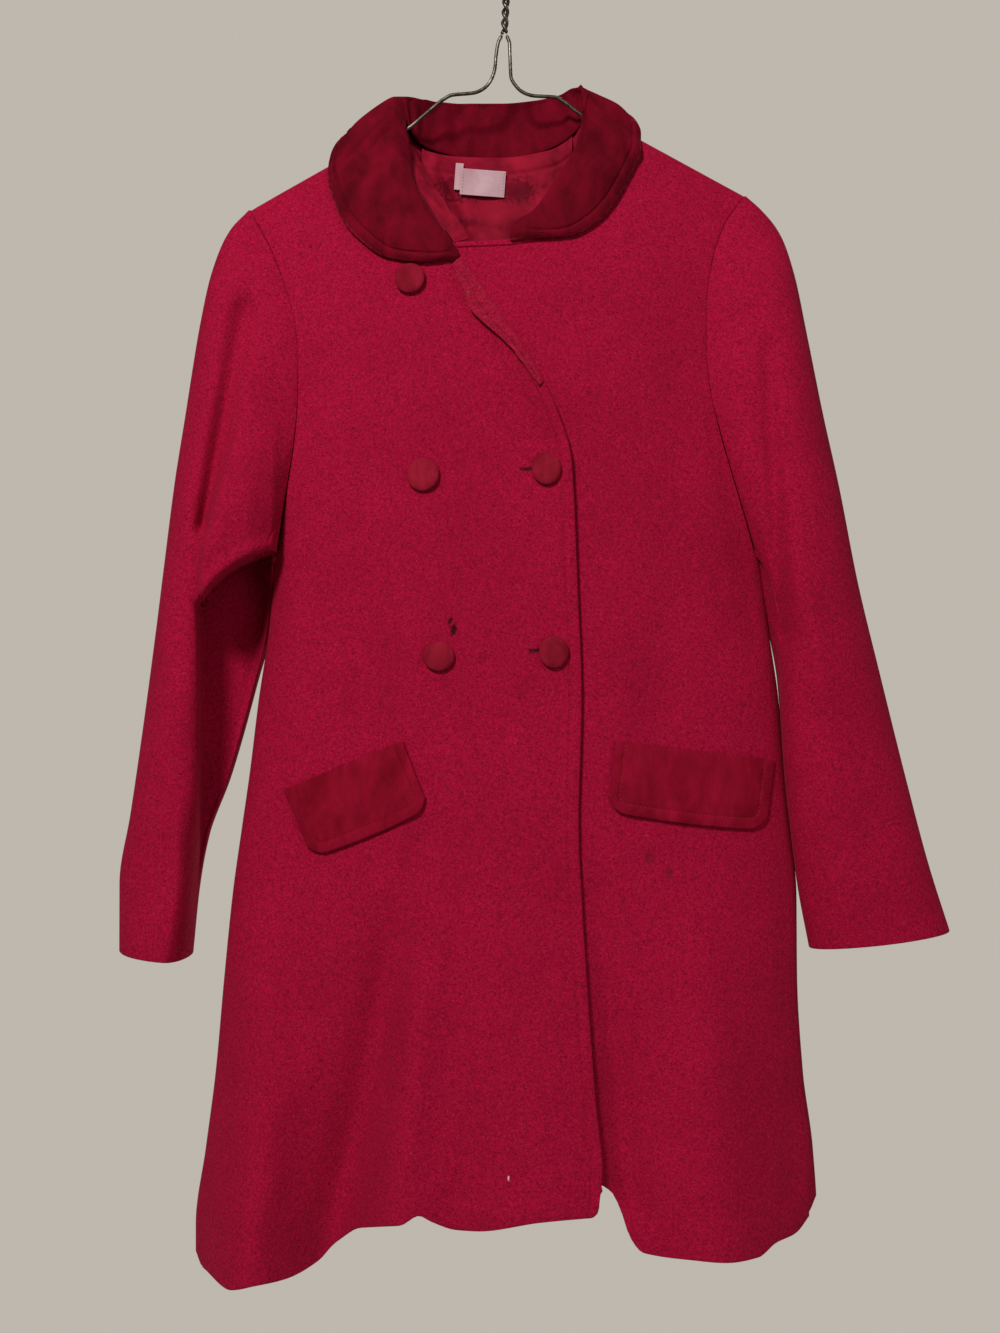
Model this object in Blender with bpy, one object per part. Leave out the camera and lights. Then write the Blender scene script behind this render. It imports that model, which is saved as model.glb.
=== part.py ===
"""Double-breasted wool coat with a velvet collar, hanging flat on a wire hanger.

Lengths are in millimetres until mesh_object() and wire() turn them into metres. The origin is the inside top of
the hanger's hook, X runs to the viewer's right, Y away from the viewer and Z up. The coat faces the viewer, so the
wearer's right side is on the viewer's left. "Down" is a distance below the hook's seat.

Each table gives places as they look from straight in front, at EYE, on the plane of the hanger. true_place() moves
such a place along its line of sight to its real depth.
"""
import math
from collections import namedtuple

import bmesh
import bpy
import numpy as np
from mathutils import Vector

METRE = 0.001
EYE_X = -3.5
EYE_DOWN = 544.0
EYE_DISTANCE = 1100.0

CENTRE_X = -3.5
WOOL = 2.2
VELVET = 2.2
SATIN = 1.0
TAPE = 0.7
GAP = 0.3
SEAM_GAP = 0.9
WIRE_RADIUS = 1.25
SHOULDER_ROLL = 4.8
HANG_LENGTH = 75.0
BODY_SQUARENESS = 2.2
UNDERARM = 468.0
LAP_LIFT = 5.0
SEAM_CLEAR = 1.4
FALL_CLEAR = 1.8
SHOULDER_CLEAR = 3.0
COLLAR_STATIONS = 41
PANEL_COLUMNS = 15
PANEL_LINES = 27
BACK_COLUMNS = 24
SLEEVE_COLUMNS = 11
SLEEVE_LINES = 17
TOP_LINES = [0.0, 0.0025, 0.008]
LINE_START = 0.02
EDGE_CROWD = 0.55
SHOULDER_GAP = 0.9
ROLL_FADE_DOWN = 300.0
ROLL_FADE_LENGTH = 158.0
LAP_LIFT_X = -92.0
LAP_LIFT_WIDTH = 30.0
LAP_LIFT_DOWN = 222.0
LAP_LIFT_HEIGHT = 22.0
NAPE_X = -6.5
NAPE_HALF = 66.0
NAPE_RISE = 17.0
NAPE_BELOW = 25.0
NAPE_REACH = 90.0
SIDE_SEAM_INSET = 0.0375

# The body, level by level: half widths and the turn of the side seam or back armhole, in degrees from the middle
# of the back, for the wearer's right and left, then how far the front and the back stand off the hanger's plane.
Girth = namedtuple("Girth", "down right_half right_turn left_half left_turn front back")
GIRTHS = [
    Girth(150, 178, 78.6, 174, 78.6, 36, 22),
    Girth(215, 178, 78.6, 174, 78.6, 38, 22),
    Girth(250, 172, 71.0, 170, 70.0, 40, 22),
    Girth(290, 166, 65.0, 166, 63.0, 41, 23),
    Girth(350, 164, 63.0, 169, 62.0, 43, 24),
    Girth(410, 163, 69.0, 178, 68.0, 45, 26),
    Girth(440, 160, 83.0, 181, 82.0, 46, 27),
    Girth(468, 158, 98.0, 182, 99.0, 46, 28),
    Girth(512, 161, 101.0, 185, 101.0, 46, 29),
    Girth(568, 169, 102.0, 191, 101.0, 46, 30),
    Girth(617, 175, 102.5, 195, 101.0, 46, 32),
    Girth(652, 180, 102.0, 199, 101.0, 46, 34),
    Girth(702, 187, 102.0, 206, 101.0, 47, 36),
    Girth(761, 193, 102.5, 208, 100.5, 48, 38),
    Girth(827, 199, 103.0, 212, 100.5, 50, 41),
    Girth(881, 206, 103.0, 219, 101.0, 53, 44),
    Girth(934, 213, 102.0, 222, 103.0, 56, 47),
    Girth(985, 213, 102.0, 222, 103.0, 58, 49),
]

Shoulder = namedtuple("Shoulder", "x down")
SHOULDERS = [Shoulder(-178, 225), Shoulder(-72, 165), Shoulder(59, 156), Shoulder(167, 215)]

# The front edge of each armhole, from the shoulder tip to the underarm.
Armhole = namedtuple("Armhole", "down x")
RIGHT_ARMHOLE = [
    Armhole(225, -178), Armhole(251, -164), Armhole(274, -155), Armhole(298, -148), Armhole(326, -145),
    Armhole(351, -145), Armhole(381, -147), Armhole(416, -152), Armhole(435, -155), Armhole(468, -160),
]
LEFT_ARMHOLE = [
    Armhole(215, 167), Armhole(235, 153), Armhole(260, 145), Armhole(292, 141), Armhole(321, 141),
    Armhole(351, 144), Armhole(381, 151), Armhole(416, 161), Armhole(443, 169), Armhole(468, 176),
]

# One row for each line across a front panel, from its neck or front edge to its armhole or side seam.
Across = namedtuple("Across", "edge_x edge_down side_down")
RIGHT_FRONT = [
    Across(-72, 165, 225), Across(-70, 192, 250), Across(-61, 219, 274), Across(-46, 241, 298),
    Across(-31, 256, 326), Across(-17, 275, 351), Across(-1, 298, 381), Across(18, 326, 410),
    Across(37, 365, 440), Across(47, 400, 468), Across(51, 480, 520), Across(54, 568, 580),
    Across(52, 652, 652), Across(55, 720, 720), Across(59, 783, 783), Across(64, 848, 848),
    Across(69, 903, 910), Across(67, 930, 968),
]
LEFT_FRONT = [
    Across(59, 156, 215), Across(61, 183, 245), Across(52, 207, 270), Across(35, 228, 295),
    Across(4, 244, 330), Across(-50, 248, 372), Across(-54, 300, 400), Across(-55, 365, 435),
    Across(-55, 430, 468), Across(-55, 500, 520), Across(-55, 580, 580), Across(-55, 652, 652),
    Across(-55, 720, 720), Across(-54, 783, 783), Across(-53, 848, 848), Across(-52, 890, 905),
    Across(-52, 905, 930),
]

# The hem of each panel, from the viewer's left to right.
Hem = namedtuple("Hem", "x down")
RIGHT_HEM = [
    Hem(-212, 968), Hem(-192, 981), Hem(-174, 978), Hem(-153, 973), Hem(-130, 960), Hem(-118, 947), Hem(-102, 937),
    Hem(-74, 936), Hem(-60, 929), Hem(-52, 933), Hem(-34, 939), Hem(-18, 940), Hem(24, 934), Hem(67, 930),
]
LEFT_HEM = [
    Hem(-52, 905), Hem(40, 905), Hem(66, 907), Hem(75, 912), Hem(82, 927), Hem(87, 943), Hem(97, 955),
    Hem(130, 960), Hem(155, 962), Hem(178, 958), Hem(190, 948), Hem(204, 941), Hem(215, 930),
]
BACK_HEM = [Hem(-212, 968), Hem(-150, 950), Hem(0, 932), Hem(150, 922), Hem(216, 930)]
BACK_NECK = [
    Hem(-72, 165), Hem(-66, 178), Hem(-55, 187), Hem(-35, 191), Hem(-5, 192), Hem(30, 187), Hem(46, 178), Hem(59, 156),
]

# Folds of the cloth: a straight crest that starts narrow and low and ends wide and high. Rise is towards the viewer
# on the fronts and sleeves and away on the back, and a negative rise is a trough.
Fold = namedtuple("Fold", "top_x top_down low_x low_down top_width low_width top_rise low_rise")
FRONT_FOLDS = [
    Fold(-65, 673, -122, 953, 10, 20, -3, -21),
    Fold(-45, 694, -76, 939, 12, 18, 1, 8),
    Fold(-170, 708, -180, 981, 14, 32, 1, 26),
    Fold(10, 708, 17, 935, 30, 40, 0, 8),
    Fold(-25, 848, -25, 942, 12, 16, 0, -5),
    Fold(137, 680, 150, 961, 24, 40, 1, 22),
    Fold(-120, 300, -95, 560, 14, 22, 0, -3),
    Fold(128, 300, 110, 560, 14, 22, 0, -3),
]
LAP_FOLDS = [Fold(64, 700, 86, 915, 8, 15, -2, -13)]
BACK_FOLDS = [
    Fold(-120, 620, -150, 960, 20, 34, 0, 18),
    Fold(-60, 680, -70, 940, 18, 26, 0, -14),
    Fold(0, 640, 5, 935, 24, 34, 0, 14),
    Fold(70, 700, 80, 930, 18, 26, 0, -13),
    Fold(130, 640, 150, 930, 20, 34, 0, 17),
    Fold(-70, 260, -60, 520, 14, 20, 0, -3),
    Fold(60, 260, 55, 520, 14, 20, 0, -3),
]

# A sleeve, ring by ring from the armhole to the cuff: its outer and inner edge, where its front ridge lies between
# them (1 is outer, -1 inner), the depths of its outer edge, ridge, inner edge and back, and how far it bows inward.
Ring = namedtuple("Ring", "outer_x outer_down inner_x inner_down ridge outer_y front_y inner_y back_y bow")
RIGHT_SLEEVE = [
    Ring(-180, 225, -160, 468, 0.00, 0, -26, -10, 18, 25),
    Ring(-194, 240, -165, 474, 0.00, 0, -30, -8, 20, 20),
    Ring(-205, 268, -166, 484, 0.05, 0, -34, -4, 23, 14),
    Ring(-213, 306, -167, 496, 0.10, 0, -37, 2, 26, 8),
    Ring(-223, 370, -169, 515, 0.15, 0, -40, 9, 30, 3),
    Ring(-230, 416, -171, 532, 0.20, 0, -41, 15, 33, 0),
    Ring(-237, 472, -175, 556, 0.25, 0, -41, 19, 35, 0),
    Ring(-243, 520, -181, 585, 0.20, 0, -41, 20, 36, 0),
    Ring(-252, 585, -192, 622, -0.05, 0, -40, 18, 36, 0),
    Ring(-261, 645, -207, 662, -0.50, 0, -39, 10, 35, 0),
    Ring(-269, 695, -214, 698, -0.65, 0, -38, 0, 34, 0),
    Ring(-269, 742, -219, 746, -0.50, 0, -37, 0, 33, 0),
]
LEFT_SLEEVE = [
    Ring(168, 215, 176, 468, 0.00, 0, -24, -10, 18, 28),
    Ring(181, 226, 181, 474, 0.00, 0, -29, -12, 20, 22),
    Ring(193, 243, 185, 484, 0.00, 0, -32, -12, 22, 16),
    Ring(202, 270, 188, 496, 0.00, 0, -34, -12, 24, 10),
    Ring(211, 314, 191, 514, 0.00, 0, -36, -12, 26, 5),
    Ring(221, 364, 192, 534, -0.10, 0, -36, -12, 27, 1),
    Ring(233, 418, 193, 556, -0.20, 0, -36, -12, 27, 0),
    Ring(246, 484, 194, 586, -0.20, 0, -35, -11, 27, 0),
    Ring(262, 550, 196, 620, -0.20, 0, -34, -10, 27, 0),
    Ring(280, 622, 200, 658, -0.20, 0, -32, -9, 26, 0),
    Ring(296, 682, 205, 698, -0.10, 0, -28, -6, 24, 0),
    Ring(311, 729, 213, 741, 0.00, 0, -24, 0, 22, 0),
]
RIGHT_SLEEVE_FOLDS = [
    Fold(-212, 500, -166, 466, 9, 9, -10, -12),
    Fold(-184, 370, -212, 480, 8, 9, 2, 5),
]
LEFT_SLEEVE_FOLDS = [
    Fold(184, 330, 193, 560, 7, 7, -6, -9),
    Fold(205, 470, 224, 560, 9, 9, 2, 3),
]
SPLIT_OUTER = -0.25
RIGHT_SPLIT_INNER = math.pi - 0.7
LEFT_SPLIT_INNER = math.pi - 0.1
SPLIT_SLIT = 0.09
ARMHOLE_CLEAR = {-1: 0.9, 1: 1.4}
ROLL_CLEAR = 1.2
ARMHOLE_PULL_RINGS = 3.0
SLEEVE_CROWD = 1.1

# The collar, station by station from the wearer's right to left: its seam on the neck, its roll and its outer edge,
# the turn from front (-1) over the shoulder (0) to back (1), and how far the roll stands off the cloth.
Station = namedtuple("Station", "seam_x seam_down roll_x roll_down edge_x edge_down turn rise")
COLLAR = [
    Station(-33, 252, -32, 254, -34, 259, -1.0, 4),
    Station(-43, 237.5, -42, 241, -57, 261, -1.0, 8),
    Station(-54.5, 218.5, -55, 225, -83, 258, -1.0, 10),
    Station(-64, 203, -64, 205, -101, 247, -1.0, 11),
    Station(-66, 188, -75, 186, -114, 233, -1.0, 11),
    Station(-67.5, 175, -79, 168, -122, 215, -1.0, 10),
    Station(-69, 168, -80, 158, -125, 200, -1.0, 10),
    Station(-69, 163, -79, 150, -123, 187, -0.5, 9),
    Station(-68, 161, -77, 145, -112, 175, 0.1, 8),
    Station(-65, 167, -69, 145, -94, 186, 1.0, 8),
    Station(-58, 178, -58, 147, -76, 201, 1.0, 9),
    Station(-46, 184, -45, 149, -52, 210, 1.0, 9),
    Station(-28, 188, -28, 150, -32, 215, 1.0, 9),
    Station(-5, 189, -6, 150, -5, 217, 1.0, 9),
    Station(22, 185, 20, 148, 24, 213, 1.0, 9),
    Station(40, 177, 38, 144, 50, 205, 1.0, 9),
    Station(50, 168, 48, 139, 68, 192, 1.0, 9),
    Station(54, 159, 54, 136, 82, 176, 1.0, 8),
    Station(55, 153, 58, 136, 90, 163, 0.1, 8),
    Station(56, 157, 56, 143, 96, 171, -0.4, 9),
    Station(57, 165, 54, 152, 96, 184, -1.0, 10),
    Station(57, 174, 53, 164, 92, 194, -1.0, 10),
    Station(54, 188, 50, 178, 86, 205, -1.0, 11),
    Station(46, 204, 43, 191, 78, 219, -1.0, 11),
    Station(35, 220, 32, 208, 64, 234, -1.0, 10),
    Station(21, 232, 20, 224, 44, 243, -1.0, 8),
    Station(6, 240, 5, 233, 3, 245, -1.0, 5),
]

# Where the collar's seam, roll, mid fall and edge lie across the strip, and the columns that its wall is made on.
COLLAR_KEYS = np.array([0.0, 0.32, 0.66, 1.0])
COLLAR_COLUMNS = np.array([0.0, 0.16, 0.26, 0.36, 0.5, 0.66, 0.84, 1.0])
COLLAR_MIDDLE = 0.55
COLLAR_SWELL = 2.6

# The two strips of the right front's facing that show, by their long sides.
Strip = namedtuple("Strip", "edge_x edge_down far_x far_down")
NECK_FACING = [
    Strip(-71, 176, -66, 178), Strip(-69, 190, -58, 192), Strip(-60, 216, -46, 212), Strip(-50, 231, -37, 226),
    Strip(-41, 239, -29, 236),
]
EDGE_FACING = [
    Strip(-32, 257, -37, 262), Strip(-18, 275, -29, 280), Strip(-10, 286, -24, 294), Strip(-2, 298, -14, 304),
    Strip(9, 314, 1, 317), Strip(17, 326, 11, 329), Strip(27, 344, 24, 347),
]
FACING_DEPTH = 12.0
FACING_CLEAR = 0.9
EDGE_CURL = 1.5
EDGE_CLEAR = 0.6

# The lining that shows in the neck, and the label sewn on it, as seen.
LINING_LEFT = -58.0
LINING_RIGHT = 47.0
LINING_LOW = 320.0
LINING_BELOW_SEAM = 1.5
LINING_CLEAR = 1.2
LABEL_LEFT = -34.0
LABEL_WIDE = 34.0
LABEL_TOP = 194.0
LABEL_HIGH = 23.0
LABEL_CLEAR = 0.4

Flap = namedtuple("Flap", "left_x left_down right_x right_down left_low right_low low_dip corner")
FLAPS = {
    "flap_right": Flap(-156, 630, -70, 595, 668, 648, 6, 12),
    "flap_left": Flap(75, 596, 187, 609, 640, 652, 5, 13),
}

Button = namedtuple("Button", "x down wide high")
BUTTONS = [
    Button(-66, 273, 10.4, 10.4),
    Button(-57, 410, 11.0, 11.0),
    Button(-46, 537, 10.8, 9.8),
    Button(29, 406, 10.0, 11.2),
    Button(34, 534, 10.0, 11.0),
]
BUTTON_HEIGHT = 5.0
BUTTON_CLEAR = 0.6
CLOTH_STEP = 4.0
BUTTON_SIDES = 14
BUTTON_PROFILE = [(0.0, 0.0), (0.80, 0.0), (1.0, 0.28), (0.97, 0.55), (0.78, 0.85), (0.42, 0.98), (0.0, 1.0)]
FLAP_CLEAR = 1.3
FLAP_COLUMNS = 15
FLAP_LINES = 6

Place = namedtuple("Place", "x y down")
HOOK = [
    Place(-17, 0, 33), Place(-20, 0, 19), Place(-16, 0, 6), Place(-6, 0, -0.4), Place(6, 0, -0.4),
    Place(16, 0, 6), Place(20.2, 0, 19), Place(17, 0, 33), Place(9, 0, 47), Place(3.5, 0, 60),
]
TWIST_TOP = 64.0
TWIST_LOW = 101.0
TWIST_TURNS = 2.5
TWIST_RADIUS = 1.5
TWIST_STEPS = 21
TWIST_LEAN_TOP = 1.5
TWIST_LEAN_LOW = -0.5
WIRE_STEP = 5.0
WIRE_MOST_STEPS = 14
RIGHT_ARM = [
    Place(-2.1, 0, 102.2), Place(-4.6, 0, 107), Place(-6, 0, 115), Place(-7, 0, 125), Place(-9.5, 0, 133),
    Place(-15, 0, 139.5), Place(-22, 0, 142.5), Place(-37, 0, 144), Place(-43, 0, 147), Place(-53, 0, 155),
    Place(-69, 0, 168.2), Place(-110, 0, 191.7), Place(-150, 0, 214.4), Place(-174, 0, 229.0), Place(-184, 0, 237.5),
    Place(-187.5, 0, 247), Place(-186, 0, 257), Place(-178, 0, 261), Place(-170, 0, 261),
]
LEFT_ARM = [
    Place(1.1, 0, 102.2), Place(3.2, 0, 108), Place(3.5, 0, 115), Place(4.2, 0, 131), Place(8, 0, 138),
    Place(13.5, 0, 142.5), Place(20, 0, 144.5), Place(35, 0, 145.5), Place(41, 0, 148.5), Place(50, 0, 155.5),
    Place(60, 0, 161.8), Place(100, 0, 183.7), Place(140, 0, 205.5), Place(161, 0, 218.0), Place(172, 0, 227.0),
    Place(178, 0, 239), Place(175, 0, 252), Place(168, 0, 261), Place(158, 0, 261),
]
BAR_DOWN = 261.0

RED_WOOL = ("red wool", (0.30, 0.006, 0.028), 0.95, 0.0)
RED_VELVET = ("red velvet", (0.22, 0.004, 0.015), 0.9, 0.0)
RED_SATIN = ("red satin", (0.38, 0.02, 0.045), 0.45, 0.0)
PALE_TAPE = ("pale tape", (0.75, 0.66, 0.62), 0.7, 0.0)
STEEL = ("steel wire", (0.42, 0.40, 0.36), 0.35, 1.0)


def clear_scene():
    """Takes every object out of the scene."""
    for thing in list(bpy.context.scene.objects):
        bpy.data.objects.remove(thing, do_unlink=True)


def finish(colour_name, colour, roughness, metallic):
    """Makes or finds a plain material."""
    material = bpy.data.materials.get(colour_name)
    if material is None:
        material = bpy.data.materials.new(colour_name)
        material.use_nodes = True
        shader = material.node_tree.nodes["Principled BSDF"]
        shader.inputs["Base Color"].default_value = (*colour, 1.0)
        shader.inputs["Roughness"].default_value = roughness
        shader.inputs["Metallic"].default_value = metallic
    return material


def column(rows, name):
    """Reads one named column of a table."""
    return np.array([getattr(row, name) for row in rows], float)


def smooth_curve(keys, values, at):
    """Reads a smooth curve through rising keys, with no overshoot between them."""
    step = np.diff(keys)
    rise = np.diff(values) / step
    slope = np.empty_like(values, dtype=float)
    slope[0] = rise[0]
    slope[-1] = rise[-1]
    product = rise[:-1] * rise[1:]
    total = rise[:-1] + rise[1:]
    safe = np.where(product > 0, total, 1.0)
    slope[1:-1] = np.where(product > 0, 2.0 * product / safe, 0.0)
    at = np.clip(at, keys[0], keys[-1])
    index = np.clip(np.searchsorted(keys, at, side="right") - 1, 0, len(step) - 1)
    t = (at - keys[index]) / step[index]
    start = (1 + 2 * t) * (1 - t) ** 2 * values[index]
    end = t * t * (3 - 2 * t) * values[index + 1]
    lean = t * (1 - t) ** 2 * slope[index] - t * t * (1 - t) * slope[index + 1]
    return start + end + lean * step[index]


def read_table(rows, key, value, at):
    """Reads one column of a table at other values of its key column."""
    return smooth_curve(column(rows, key), column(rows, value), at)


def ease(value):
    """Goes smoothly from 0 to 1 as the value does."""
    value = np.clip(value, 0.0, 1.0)
    return value * value * (3 - 2 * value)


def true_place(x, y, down):
    """Moves a place seen on the hanger's plane along its line of sight to depth y, and gives X, Y and Z."""
    nearness = 1.0 + y / EYE_DISTANCE
    real_x = EYE_X + (x - EYE_X) * nearness
    real_down = EYE_DOWN + (down - EYE_DOWN) * nearness
    return np.stack([real_x, np.broadcast_to(y, real_x.shape), -real_down], axis=-1)


def fold_height(folds, x, down):
    """Adds up the rise of the folds at each place."""
    total = np.zeros(np.broadcast(x, down).shape)
    for fold in folds:
        run_x = fold.low_x - fold.top_x
        run_down = fold.low_down - fold.top_down
        length = math.hypot(run_x, run_down)
        along = ((x - fold.top_x) * run_x + (down - fold.top_down) * run_down) / length**2
        across = ((x - fold.top_x) * run_down - (down - fold.top_down) * run_x) / length
        part = np.clip(along, 0.0, 1.0)
        width = fold.top_width + (fold.low_width - fold.top_width) * part
        rise = fold.top_rise + (fold.low_rise - fold.top_rise) * part
        past_end = (along - part) * length / (1.5 * width)
        total = total + rise * np.exp(-((across / width) ** 2) - past_end**2)
    return total


def half_width(x, down):
    """Gives the body's half width on the side where x lies."""
    right = read_table(GIRTHS, "down", "right_half", down)
    left = read_table(GIRTHS, "down", "left_half", down)
    return np.where(x < CENTRE_X, right, left)


def shoulder_down(x):
    """Gives the height of the shoulder seams, and of a line between them across the neck."""
    return np.interp(x, column(SHOULDERS, "x"), column(SHOULDERS, "down"))


def round_off(share):
    """Gives the depth of a rounded box's half, from 1 at its middle to 0 at its side."""
    share = np.clip(share, 0.0, 1.0)
    return (1.0 - share**BODY_SQUARENESS) ** (1.0 / BODY_SQUARENESS)


def over_wire(height, down):
    """Gives how far the cloth stands off as it rolls over the hanger's wire, less towards the underarm."""
    part = np.clip(height / SHOULDER_ROLL, 0.0, 1.0)
    roll = SHOULDER_GAP + (SHOULDER_ROLL - SHOULDER_GAP) * np.sqrt(1.0 - (1.0 - part) ** 2)
    return roll * (1.0 - ease((down - ROLL_FADE_DOWN) / ROLL_FADE_LENGTH))


def hang(height):
    """Gives the share of the full depth that the cloth has reached below the shoulder."""
    return 1.0 - np.exp(-np.clip(height, 0.0, None) / HANG_LENGTH)


def front_depth(x, down):
    """Gives Y of the front's outer face."""
    height = down - shoulder_down(x)
    cap = round_off(np.abs(x - CENTRE_X) / half_width(x, down))
    full = read_table(GIRTHS, "down", "front", down)
    side_calm = ease(cap / 0.5)
    folds = fold_height(FRONT_FOLDS, x, down) * (0.25 + 0.75 * side_calm)
    return -(over_wire(height, down) + hang(height) * cap * full + folds)


def back_depth(x, down):
    """Gives Y of the back's outer face."""
    height = down - shoulder_down(x)
    cap = round_off(np.abs(x - CENTRE_X) / half_width(x, down))
    full = read_table(GIRTHS, "down", "back", down)
    neck = np.clip(1.0 - ((x - NAPE_X) / NAPE_HALF) ** 2, 0.0, None)
    nape = NAPE_RISE * neck * np.exp(-(((height - NAPE_BELOW) / NAPE_REACH) ** 2)) * ease(height / 20.0)
    folds = fold_height(BACK_FOLDS, x, down) * ease(cap / 0.5)
    return over_wire(height, down) + hang(height) * cap * full + nape + folds


def seam_x(down, side):
    """Gives X of the front panel's side edge: the armhole, then the side seam."""
    rows = RIGHT_ARMHOLE if side < 0 else LEFT_ARMHOLE
    half = read_table(GIRTHS, "down", "right_half" if side < 0 else "left_half", down)
    turn = np.radians(read_table(GIRTHS, "down", "right_turn" if side < 0 else "left_turn", down))
    below = CENTRE_X + side * half * np.sin(turn)
    above = read_table(rows, "down", "x", down)
    return np.where(down < UNDERARM, above, below)


def lap_lift(x, down):
    """Gives how far the overlap lies in front of the body's own surface, over the underlap."""
    inward = ease((x - LAP_LIFT_X) / LAP_LIFT_WIDTH)
    return LAP_LIFT * inward * ease((down - LAP_LIFT_DOWN) / LAP_LIFT_HEIGHT)


def right_front_depth(x, down):
    """Gives Y of the overlapping front's outer face."""
    return front_depth(x, down) - lap_lift(x, down)


def left_front_depth(x, down):
    """Gives Y of the underlapping front's outer face."""
    return front_depth(x, down) - fold_height(LAP_FOLDS, x, down)


def mesh_object(name, points, thickness, outward, look):
    """Makes a cloth wall from a grid of its outer points in millimetres.

    The grid's faces are turned so that they face along outward, and Solidify gives the wall its thickness on the
    other side.
    """
    across, along = points.shape[:2]
    index = np.arange(across * along).reshape(across, along)
    faces = np.stack([index[:-1, :-1], index[1:, :-1], index[1:, 1:], index[:-1, 1:]], axis=-1).reshape(-1, 4)
    flat = points.reshape(-1, 3)
    first = flat[faces[:, 1]] - flat[faces[:, 0]]
    second = flat[faces[:, 3]] - flat[faces[:, 0]]
    facing = np.cross(first, second).sum(axis=0)
    if np.dot(facing, outward) < 0:
        faces = faces[:, ::-1]
    mesh = bpy.data.meshes.new(name)
    mesh.from_pydata((flat * METRE).tolist(), [], faces.tolist())
    thing = bpy.data.objects.new(name, mesh)
    bpy.context.scene.collection.objects.link(thing)
    wall = thing.modifiers.new("cloth", "SOLIDIFY")
    wall.thickness = thickness * METRE
    wall.offset = -1.0
    wall.use_even_offset = False
    mesh.materials.append(finish(*look))
    mesh.shade_smooth()
    return thing


def panel_grid(rows, side, hem, columns, lines):
    """Gives the seen x and down of a front panel's points, from its front edge to its side."""
    keys = (column(rows, "edge_down") + column(rows, "side_down")) / 2.0
    keys = (keys - keys[0]) / (keys[-1] - keys[0])
    v = np.concatenate([TOP_LINES, np.linspace(LINE_START, 1.0, lines - len(TOP_LINES))])[None, :]
    u = np.linspace(0.0, 1.0, columns)[:, None]
    spread = (1.0 - EDGE_CROWD) * u + EDGE_CROWD * np.sin(0.5 * math.pi * u)
    edge_x = smooth_curve(keys, column(rows, "edge_x"), v)
    edge_down = smooth_curve(keys, column(rows, "edge_down"), v)
    side_down = smooth_curve(keys, column(rows, "side_down"), v)
    side_x = seam_x(side_down, side) - side * SEAM_GAP * 0.5
    x = edge_x + (side_x - edge_x) * spread
    down = edge_down + (side_down - edge_down) * spread
    hem_down = read_table(hem, "x", "down", x[:, -1:])
    down = down + (hem_down - down[:, -1:]) * ease((v - 0.66) / 0.34)
    return x, down


def build_right_front():
    """The overlapping front, on the viewer's left."""
    x, down = panel_grid(RIGHT_FRONT, -1, RIGHT_HEM, PANEL_COLUMNS, PANEL_LINES)
    y = right_front_depth(x, down)
    mesh_object("front_right", true_place(x, y, down), WOOL, (0, -1, 0), RED_WOOL)


def build_left_front():
    """The underlapping front, on the viewer's right."""
    x, down = panel_grid(LEFT_FRONT, 1, LEFT_HEM, PANEL_COLUMNS, PANEL_LINES)
    y = left_front_depth(x, down)
    mesh_object("front_left", true_place(x, y, down), WOOL, (0, -1, 0), RED_WOOL)


def back_surface(turn, down):
    """Gives the seen x and the depth of the back where it has turned so far from its middle."""
    side = np.sign(turn)
    half = np.where(turn < 0, read_table(GIRTHS, "down", "right_half", down),
                    read_table(GIRTHS, "down", "left_half", down))
    x = CENTRE_X + half * np.sin(turn)
    behind = np.abs(turn) <= 0.5 * math.pi
    y = np.where(behind, back_depth(x, down), front_depth(x - side * 1e-6, down))
    return x, y


def build_back():
    """The back, from one side seam to the other, cut out for the neck and both armholes."""
    v = np.concatenate([TOP_LINES, np.linspace(LINE_START, 1.0, PANEL_LINES - len(TOP_LINES))])[None, :]
    u = np.linspace(0.0, 1.0, BACK_COLUMNS)[:, None]
    right_down = SHOULDERS[0].down + (BACK_HEM[0].down - SHOULDERS[0].down) * v
    left_down = SHOULDERS[-1].down + (BACK_HEM[-1].down - SHOULDERS[-1].down) * v
    right_turn = -np.radians(read_table(GIRTHS, "down", "right_turn", right_down))
    left_turn = np.radians(read_table(GIRTHS, "down", "left_turn", left_down))
    inset = SIDE_SEAM_INSET * ease((v - 0.25) / 0.1)
    right_turn = right_turn + inset
    left_turn = left_turn - inset
    turn = right_turn + (left_turn - right_turn) * u
    top_x = CENTRE_X + half_width(np.sin(turn[:, :1]) * 100.0, 220.0) * np.sin(turn[:, :1])
    hem_x = CENTRE_X + half_width(np.sin(turn[:, -1:]) * 100.0, 950.0) * np.sin(turn[:, -1:])
    in_neck = (top_x > BACK_NECK[0].x) & (top_x < BACK_NECK[-1].x)
    top_down = np.where(in_neck, read_table(BACK_NECK, "x", "down", top_x), shoulder_down(top_x))
    hem_down = read_table(BACK_HEM, "x", "down", hem_x)
    sides = right_down + (left_down - right_down) * u
    down = sides + (top_down - sides[:, :1]) * (1 - v) + (hem_down - sides[:, -1:]) * v
    x, y = back_surface(turn, down)
    mesh_object("back", true_place(x, y, down), WOOL, (0, 1, 0), RED_WOOL)


def armhole_loop(angle, side):
    """Gives the armhole's edge at each angle, 0 at the shoulder tip, a half turn at the underarm."""
    tip = SHOULDERS[0].down if side < 0 else SHOULDERS[-1].down
    down = tip + (UNDERARM - tip) * (1.0 - np.cos(angle)) / 2.0
    turn_name = "right_turn" if side < 0 else "left_turn"
    turn = side * np.radians(read_table(GIRTHS, "down", turn_name, down))
    back_x, back_y = back_surface(turn, down)
    front_x = seam_x(np.minimum(down, UNDERARM - 0.01), side)
    front_y = front_depth(front_x, down)
    in_front = np.sin(angle) >= 0
    x = np.where(in_front, front_x, back_x)
    y = np.where(in_front, front_y, back_y)
    return true_place(x, y, down)


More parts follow.
